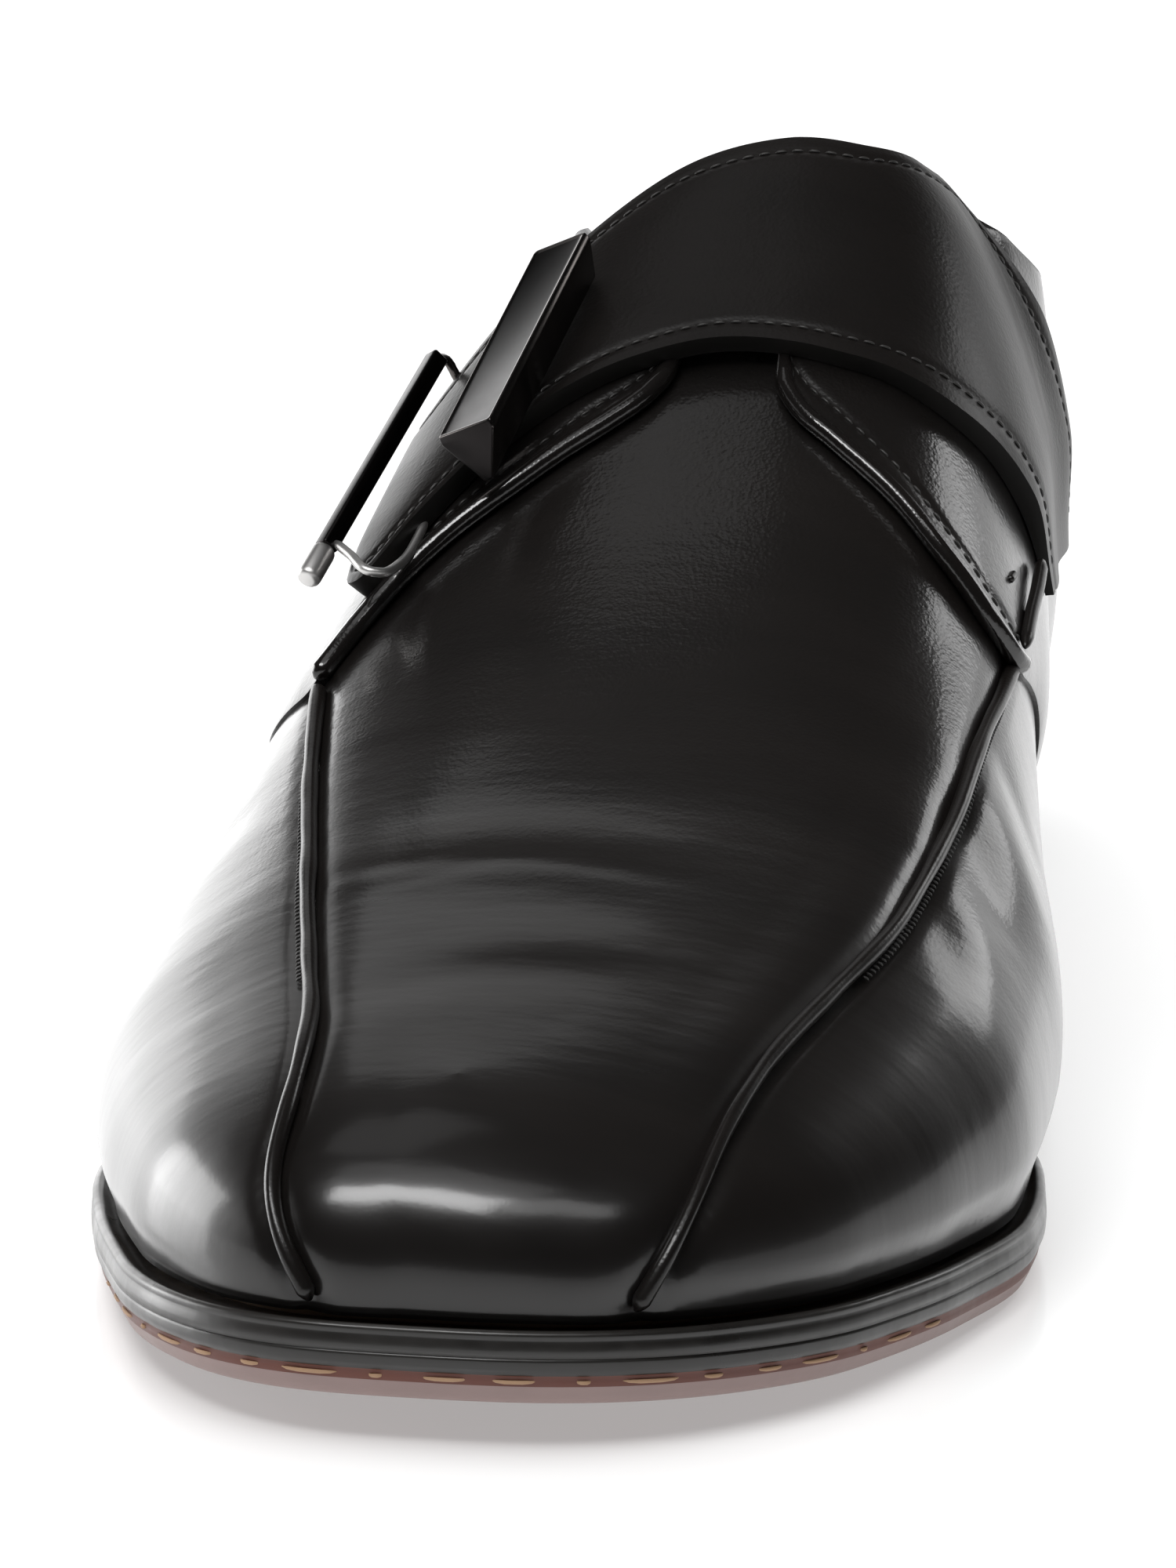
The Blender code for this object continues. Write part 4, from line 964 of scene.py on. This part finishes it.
def makeHeelLayer(name, node, slotName, material, levels, bottomAt, topAt):
    rings = []
    for share, inset in levels:
        ring = heelOutline(soleShape["heelInset"] + inset)
        s = ring[:, 1] + np.where(ring[:, 1] > soleShape["breast"] - 0.01, -max(inset, 0.0), 0.0)
        z = bottomAt(s) + (topAt(s) - bottomAt(s)) * share
        rings.append(np.stack([*inPlan(ring[:, 0], s), z], axis=-1))
    piece = makeSolid(name, np.array(rings), material)
    for polygon in piece.data.polygons:
        if len(polygon.vertices) > 4:
            polygon.use_smooth = False
    seat(piece, slotName, node)


def makeHeel():
    under = lambda s: seatHeight(s) - soleShape["welt"] - soleShape["outsole"] - 2 * lastShape["clear"]
    level = lambda height: lambda s: np.full_like(s, height)
    lifts, groove = soleShape["lifts"], soleShape["liftGroove"]
    cut, shoulder = soleShape["liftEdge"]
    profile = []
    for i in range(lifts):
        low, high = i / lifts, (i + 1) / lifts
        profile += [(low + cut, groove), (low + shoulder, 0.0), (high - shoulder, 0.0), (high - cut, groove)]
    makeHeelLayer("heelLifts", "heel_stack", "heel_leather", dressedEdge, profile,
                  level(soleShape["topLift"] + lastShape["clear"]), under)
    makeHeelLayer("heelTopPiece", "top_lift", "heel_rubber", heelRubber, soleShape["topPieceProfile"],
                  level(0.0), level(soleShape["topLift"]))


def makeInsole():
    wall, clear = soleShape["wall"], soleShape["insoleClear"]
    profile = [(lambda s, extra=extra: weltMargin(s) + wall + clear + extra, height)
               for extra, height in soleShape["insoleProfile"]]
    rings = ringStack(profile, 0.0, tucked=False)
    count, around = rings.shape[:2]
    piece = makeSolid("sockLining", rings, liningLeather, faces=fillRing((count - 1) * around, around))
    seat(piece, "lining", "insole")


makeWelt()
makeOutsole()
makeHeel()
makeInsole()
print("sole ready")

# buckle
buckleLook = {
    "plateEnds": ((0.438, -0.246), (0.514, -0.206)), "plateSize": (31.0, 8.0, 6.0), "plateLift": 11.0,
    "plateNormal": (-0.54, -0.41, 0.7), "plateFoot": 0.7, "plateLip": 1.1,
    "plateSlant": 2.5, "plateEdge": 0.3, "rim": 0.8, "rimDepth": 0.25,
    "frameEnds": ((0.424, -0.435), (0.496, -0.379)), "bar": 1.05, "barEdge": 0.35, "frameLift": 3.75,
    # run, across, lift of the wires that carry the bar
    "lowerWire": [(0.424, -0.43, 8.2), (0.413, -0.396, 7.3), (0.403, -0.364, 6.0), (0.404, -0.352, 4.8),
                  (0.414, -0.35, 3.2), (0.436, -0.35, 2.4)],
    "upperWire": [(0.496, -0.381, 8.4), (0.502, -0.386, 7.8), (0.507, -0.395, 6.4), (0.507, -0.402, 4.6),
                  (0.505, -0.404, 3.0)],
    "wire": 0.55, "wireSteps": 40, "pinRadius": 1.4, "pinLength": 5.0, "pinSides": 20,
    # share of the pin's length and of its radius
    "pinProfile": [(0.0, 0.55), (0.02, 0.8), (0.08, 0.96), (0.16, 1.0),
                   (0.84, 1.0), (0.92, 0.96), (0.98, 0.8), (1.0, 0.55)],
}


def surfaceFrame(first, second, lift):
    # middle, three directions and half length of a straight piece between two places on the last
    start, end = onLast(*first, lift), onLast(*second, lift)
    along = Vector(end - start).normalized()
    normal = Vector(lastNormal(*(np.array((a + b) / 2) for a, b in zip(first, second))))
    normal = (normal - along * normal.dot(along)).normalized()
    half = (Vector(end) - Vector(start)).length / 2
    return Vector((start + end) / 2), along, normal, normal.cross(along).normalized(), half


def makePlate():
    lengthAlong, width, depth = buckleLook["plateSize"]
    middle, along = surfaceFrame(*buckleLook["plateEnds"], buckleLook["plateLift"])[:2]
    normal = Vector(buckleLook["plateNormal"])     # the plate leans to the lateral side
    normal = (normal - along * normal.dot(along)).normalized()
    side = normal.cross(along)
    lip, foot = buckleLook["plateLip"], buckleLook["plateFoot"]
    right = [(width / 2, 0.0), (width / 2, lip), (foot, depth)]
    section = [(-width / 2, 0.0), *right, (-foot, depth), (-width / 2, lip)]
    points = []
    for k in (-1, 1):
        for a, b in section:
            reach = lengthAlong / 2 + (buckleLook["plateSlant"] * b / depth if k < 0 else 0.0)
            points.append(tuple(middle + along * (k * reach) + side * a - normal * b))
    count = len(section)
    # the sunk top face and both end faces take the dark metal; on the end faces the dark colour is painted
    # shade
    tint = [1] + [0] * (count - 1) + [1, 1]
    plate = makeSolid("bucklePlate", np.array(points).reshape(2, count, 3), [gunmetal, darkFace], tint)

    def sinkFace(body):
        body.faces.ensure_lookup_table()
        rim = bmesh.ops.inset_individual(body, faces=[body.faces[0]], thickness=buckleLook["rim"] * mm,
                                         depth=-buckleLook["rimDepth"] * mm)
        for face in rim["faces"]:
            face.material_index = 0
    editMesh(plate, sinkFace)
    roundEdges(plate, buckleLook["plateEdge"], angle=25)
    seat(plate, "gunmetal", "buckle_plate")


def makeFrame():
    # slim bar lifted off the strap, with the wires that hold it and the pin at its lower end
    middle, along, normal, side, half = surfaceFrame(*buckleLook["frameEnds"], strapShape["top"])
    bar = buckleLook["bar"]
    centre = middle + normal * buckleLook["frameLift"]
    section = ((-bar, -bar), (bar, -bar), (bar, bar), (-bar, bar))
    ends = [centre + along * (k * (half + bar)) for k in (-1, 1)]
    corners = np.array([[tuple(end + side * a + normal * b) for a, b in section] for end in ends])
    frameBar = makeSolid("buckleBar", corners, darkFace)
    roundEdges(frameBar, buckleLook["barEdge"], angle=30)
    seat(frameBar, "gunmetal", "buckle_frame")
    for name, metal in (("lowerWire", brightSteel), ("upperWire", gunmetal)):
        path, up = threadPath(buckleLook[name], buckleLook["wireSteps"])
        seat(makeTube(name, path, up, buckleLook["wire"], buckleLook["wire"], metal), "gunmetal")
    tip = centre - along * (half + bar)
    share, radius = np.array(buckleLook["pinProfile"]).T
    radius, sides = buckleLook["pinRadius"] * radius, buckleLook["pinSides"]
    path = np.array([tuple(tip - along * (buckleLook["pinLength"] * t)) for t in share])
    rings = tubePoints(path, np.tile(np.array(normal), (len(path), 1)), radius, radius, sides)
    seat(makeSolid("bucklePin", rings, brightSteel), "bright_steel", "buckle_pin")


makePlate()
makeFrame()
print("buckle ready")

# floor, light and camera
studio = {
    "floor": (0.58, 0.58, 0.58), "floorGlow": 0.36, "floorRoughness": 0.12, "floorSize": 8.0,
    # name, place, aim, size x, size y, power, shows in reflections
    "lights": [
        ("skyPanel", (0.0, 0.2, 2.2), (0.0, 0.0, 0.0), 2.6, 2.6, 64.0, False),
        ("leftFront", (-1.2, 0.31, 0.25), (0.0, 0.1, 0.05), 0.64, 0.5, 4.4, True),
        ("leftPanel", (-0.94, 0.97, 0.235), (0.0, -0.1, 0.05), 1.25, 0.47, 2.6, True),
        ("leftUpper", (-0.94, 0.97, 0.66), (0.0, -0.1, 0.05), 1.25, 0.36, 0.4, True),
        ("rightNear", (0.19, 0.155, 0.165), (0.03, -0.06, 0.03), 0.07, 0.09, 0.055, True),
        ("backHigh", (-0.24, 1.05, 0.92), (0.0, -0.1, 0.04), 0.72, 0.5, 0.47, True),
        ("topLeft", (-0.4, 0.28, 1.35), (0.0, 0.0, 0.06), 0.5, 0.4, 0.25, True),
        ("toeStrip", (-0.25, -0.72, 1.06), (0.0, -0.13, 0.03), 0.66, 0.32, 7.5, True),
        ("toeStripEnd", (0.3, -0.72, 1.06), (0.0, -0.13, 0.03), 0.45, 0.22, 0.8, True),
        ("toeFade", (-0.15, -0.44, 1.28), (0.0, -0.13, 0.03), 0.9, 0.4, 1.0, True)],
    "worldBright": 1.1, "worldDark": 0.02,
    "backEdge": (-0.5, 0.1), "skyEdge": (0.5, 0.18), "rightEdge": (0.8, 0.4),
    "azimuth": 11.5, "elevation": 13.0, "distance": 850.0, "target": (-2.0, -60.5, 45.0),
    "lens": 183.7, "sensor": 36.0, "shift": (0.0083, 0.008),
}


def makeFloor():
    half = studio["floorSize"] / 2
    corners = np.array([(-half, -half, 0), (half, -half, 0), (half, half, 0), (-half, half, 0)]) / mm
    material, shader = newMaterial("paleFloor", studio["floor"], studio["floorRoughness"])
    shader.inputs["Emission Color"].default_value = (1.0, 1.0, 1.0, 1.0)
    shader.inputs["Emission Strength"].default_value = studio["floorGlow"]
    makePiece("studioFloor", corners, [(0, 1, 2, 3)], material, smooth=False)


def makeLights():
    for name, place, aim, sizeX, sizeY, power, shows in studio["lights"]:
        lamp = bpy.data.lights.new(name, "AREA")
        lamp.shape, lamp.size, lamp.size_y, lamp.energy = "RECTANGLE", sizeX, sizeY, power
        holder = bpy.data.objects.new(name, lamp)
        holder.location = place
        holder.rotation_euler = (Vector(aim) - Vector(place)).to_track_quat("-Z", "Y").to_euler()
        holder.visible_camera, holder.visible_glossy = False, shows
        bpy.context.scene.collection.objects.link(holder)


def makeWorld():
    # bright behind and at the sides, dark on the camera's side, to the right and overhead
    world = bpy.data.worlds.new("studioWorld")
    bpy.context.scene.world = world
    world.use_nodes = True
    background = world.node_tree.nodes["Background"]
    place = addNode(world, "ShaderNodeTexCoord").outputs["Generated"]
    split = addNode(world, "ShaderNodeSeparateXYZ", {0: place})
    back, right, sky = [addRange(world, split.outputs[axis], studio[edge], kind="SMOOTHSTEP")
                        for axis, edge in (("Y", "backEdge"), ("X", "rightEdge"), ("Z", "skyEdge"))]
    sides = addNode(world, "ShaderNodeMath", {0: back, 1: right}, operation="MULTIPLY")
    whole = addNode(world, "ShaderNodeMath", {0: sides.outputs[0], 1: sky}, operation="MULTIPLY")
    level = addRange(world, whole.outputs[0], toPair=(studio["worldDark"], studio["worldBright"]))
    join(world, level, background.inputs["Strength"])
    background.inputs["Color"].default_value = (1.0, 1.0, 1.0, 1.0)


def makeCamera():
    azimuth, elevation = radians(studio["azimuth"]), radians(studio["elevation"])
    backward = Vector((sin(azimuth) * cos(elevation), -cos(azimuth) * cos(elevation), sin(elevation)))
    rightward = Vector((cos(azimuth), sin(azimuth), 0.0))
    turned = Matrix((rightward, backward.cross(rightward), backward)).transposed().to_4x4()
    camera = bpy.data.cameras.new("photoCamera")
    camera.lens, camera.sensor_width, camera.sensor_fit = studio["lens"], studio["sensor"], "AUTO"
    camera.shift_x, camera.shift_y = studio["shift"]
    camera.clip_start, camera.clip_end = 0.01, 50.0
    holder = bpy.data.objects.new("photoCamera", camera)
    place = (Vector(studio["target"]) + backward * studio["distance"]) * mm
    holder.matrix_world = Matrix.Translation(place) @ turned
    bpy.context.scene.collection.objects.link(holder)
    bpy.context.scene.camera = holder
    bpy.context.scene.view_settings.view_transform = "Standard"


makeFloor()
makeLights()
makeWorld()
makeCamera()
print("studio ready")
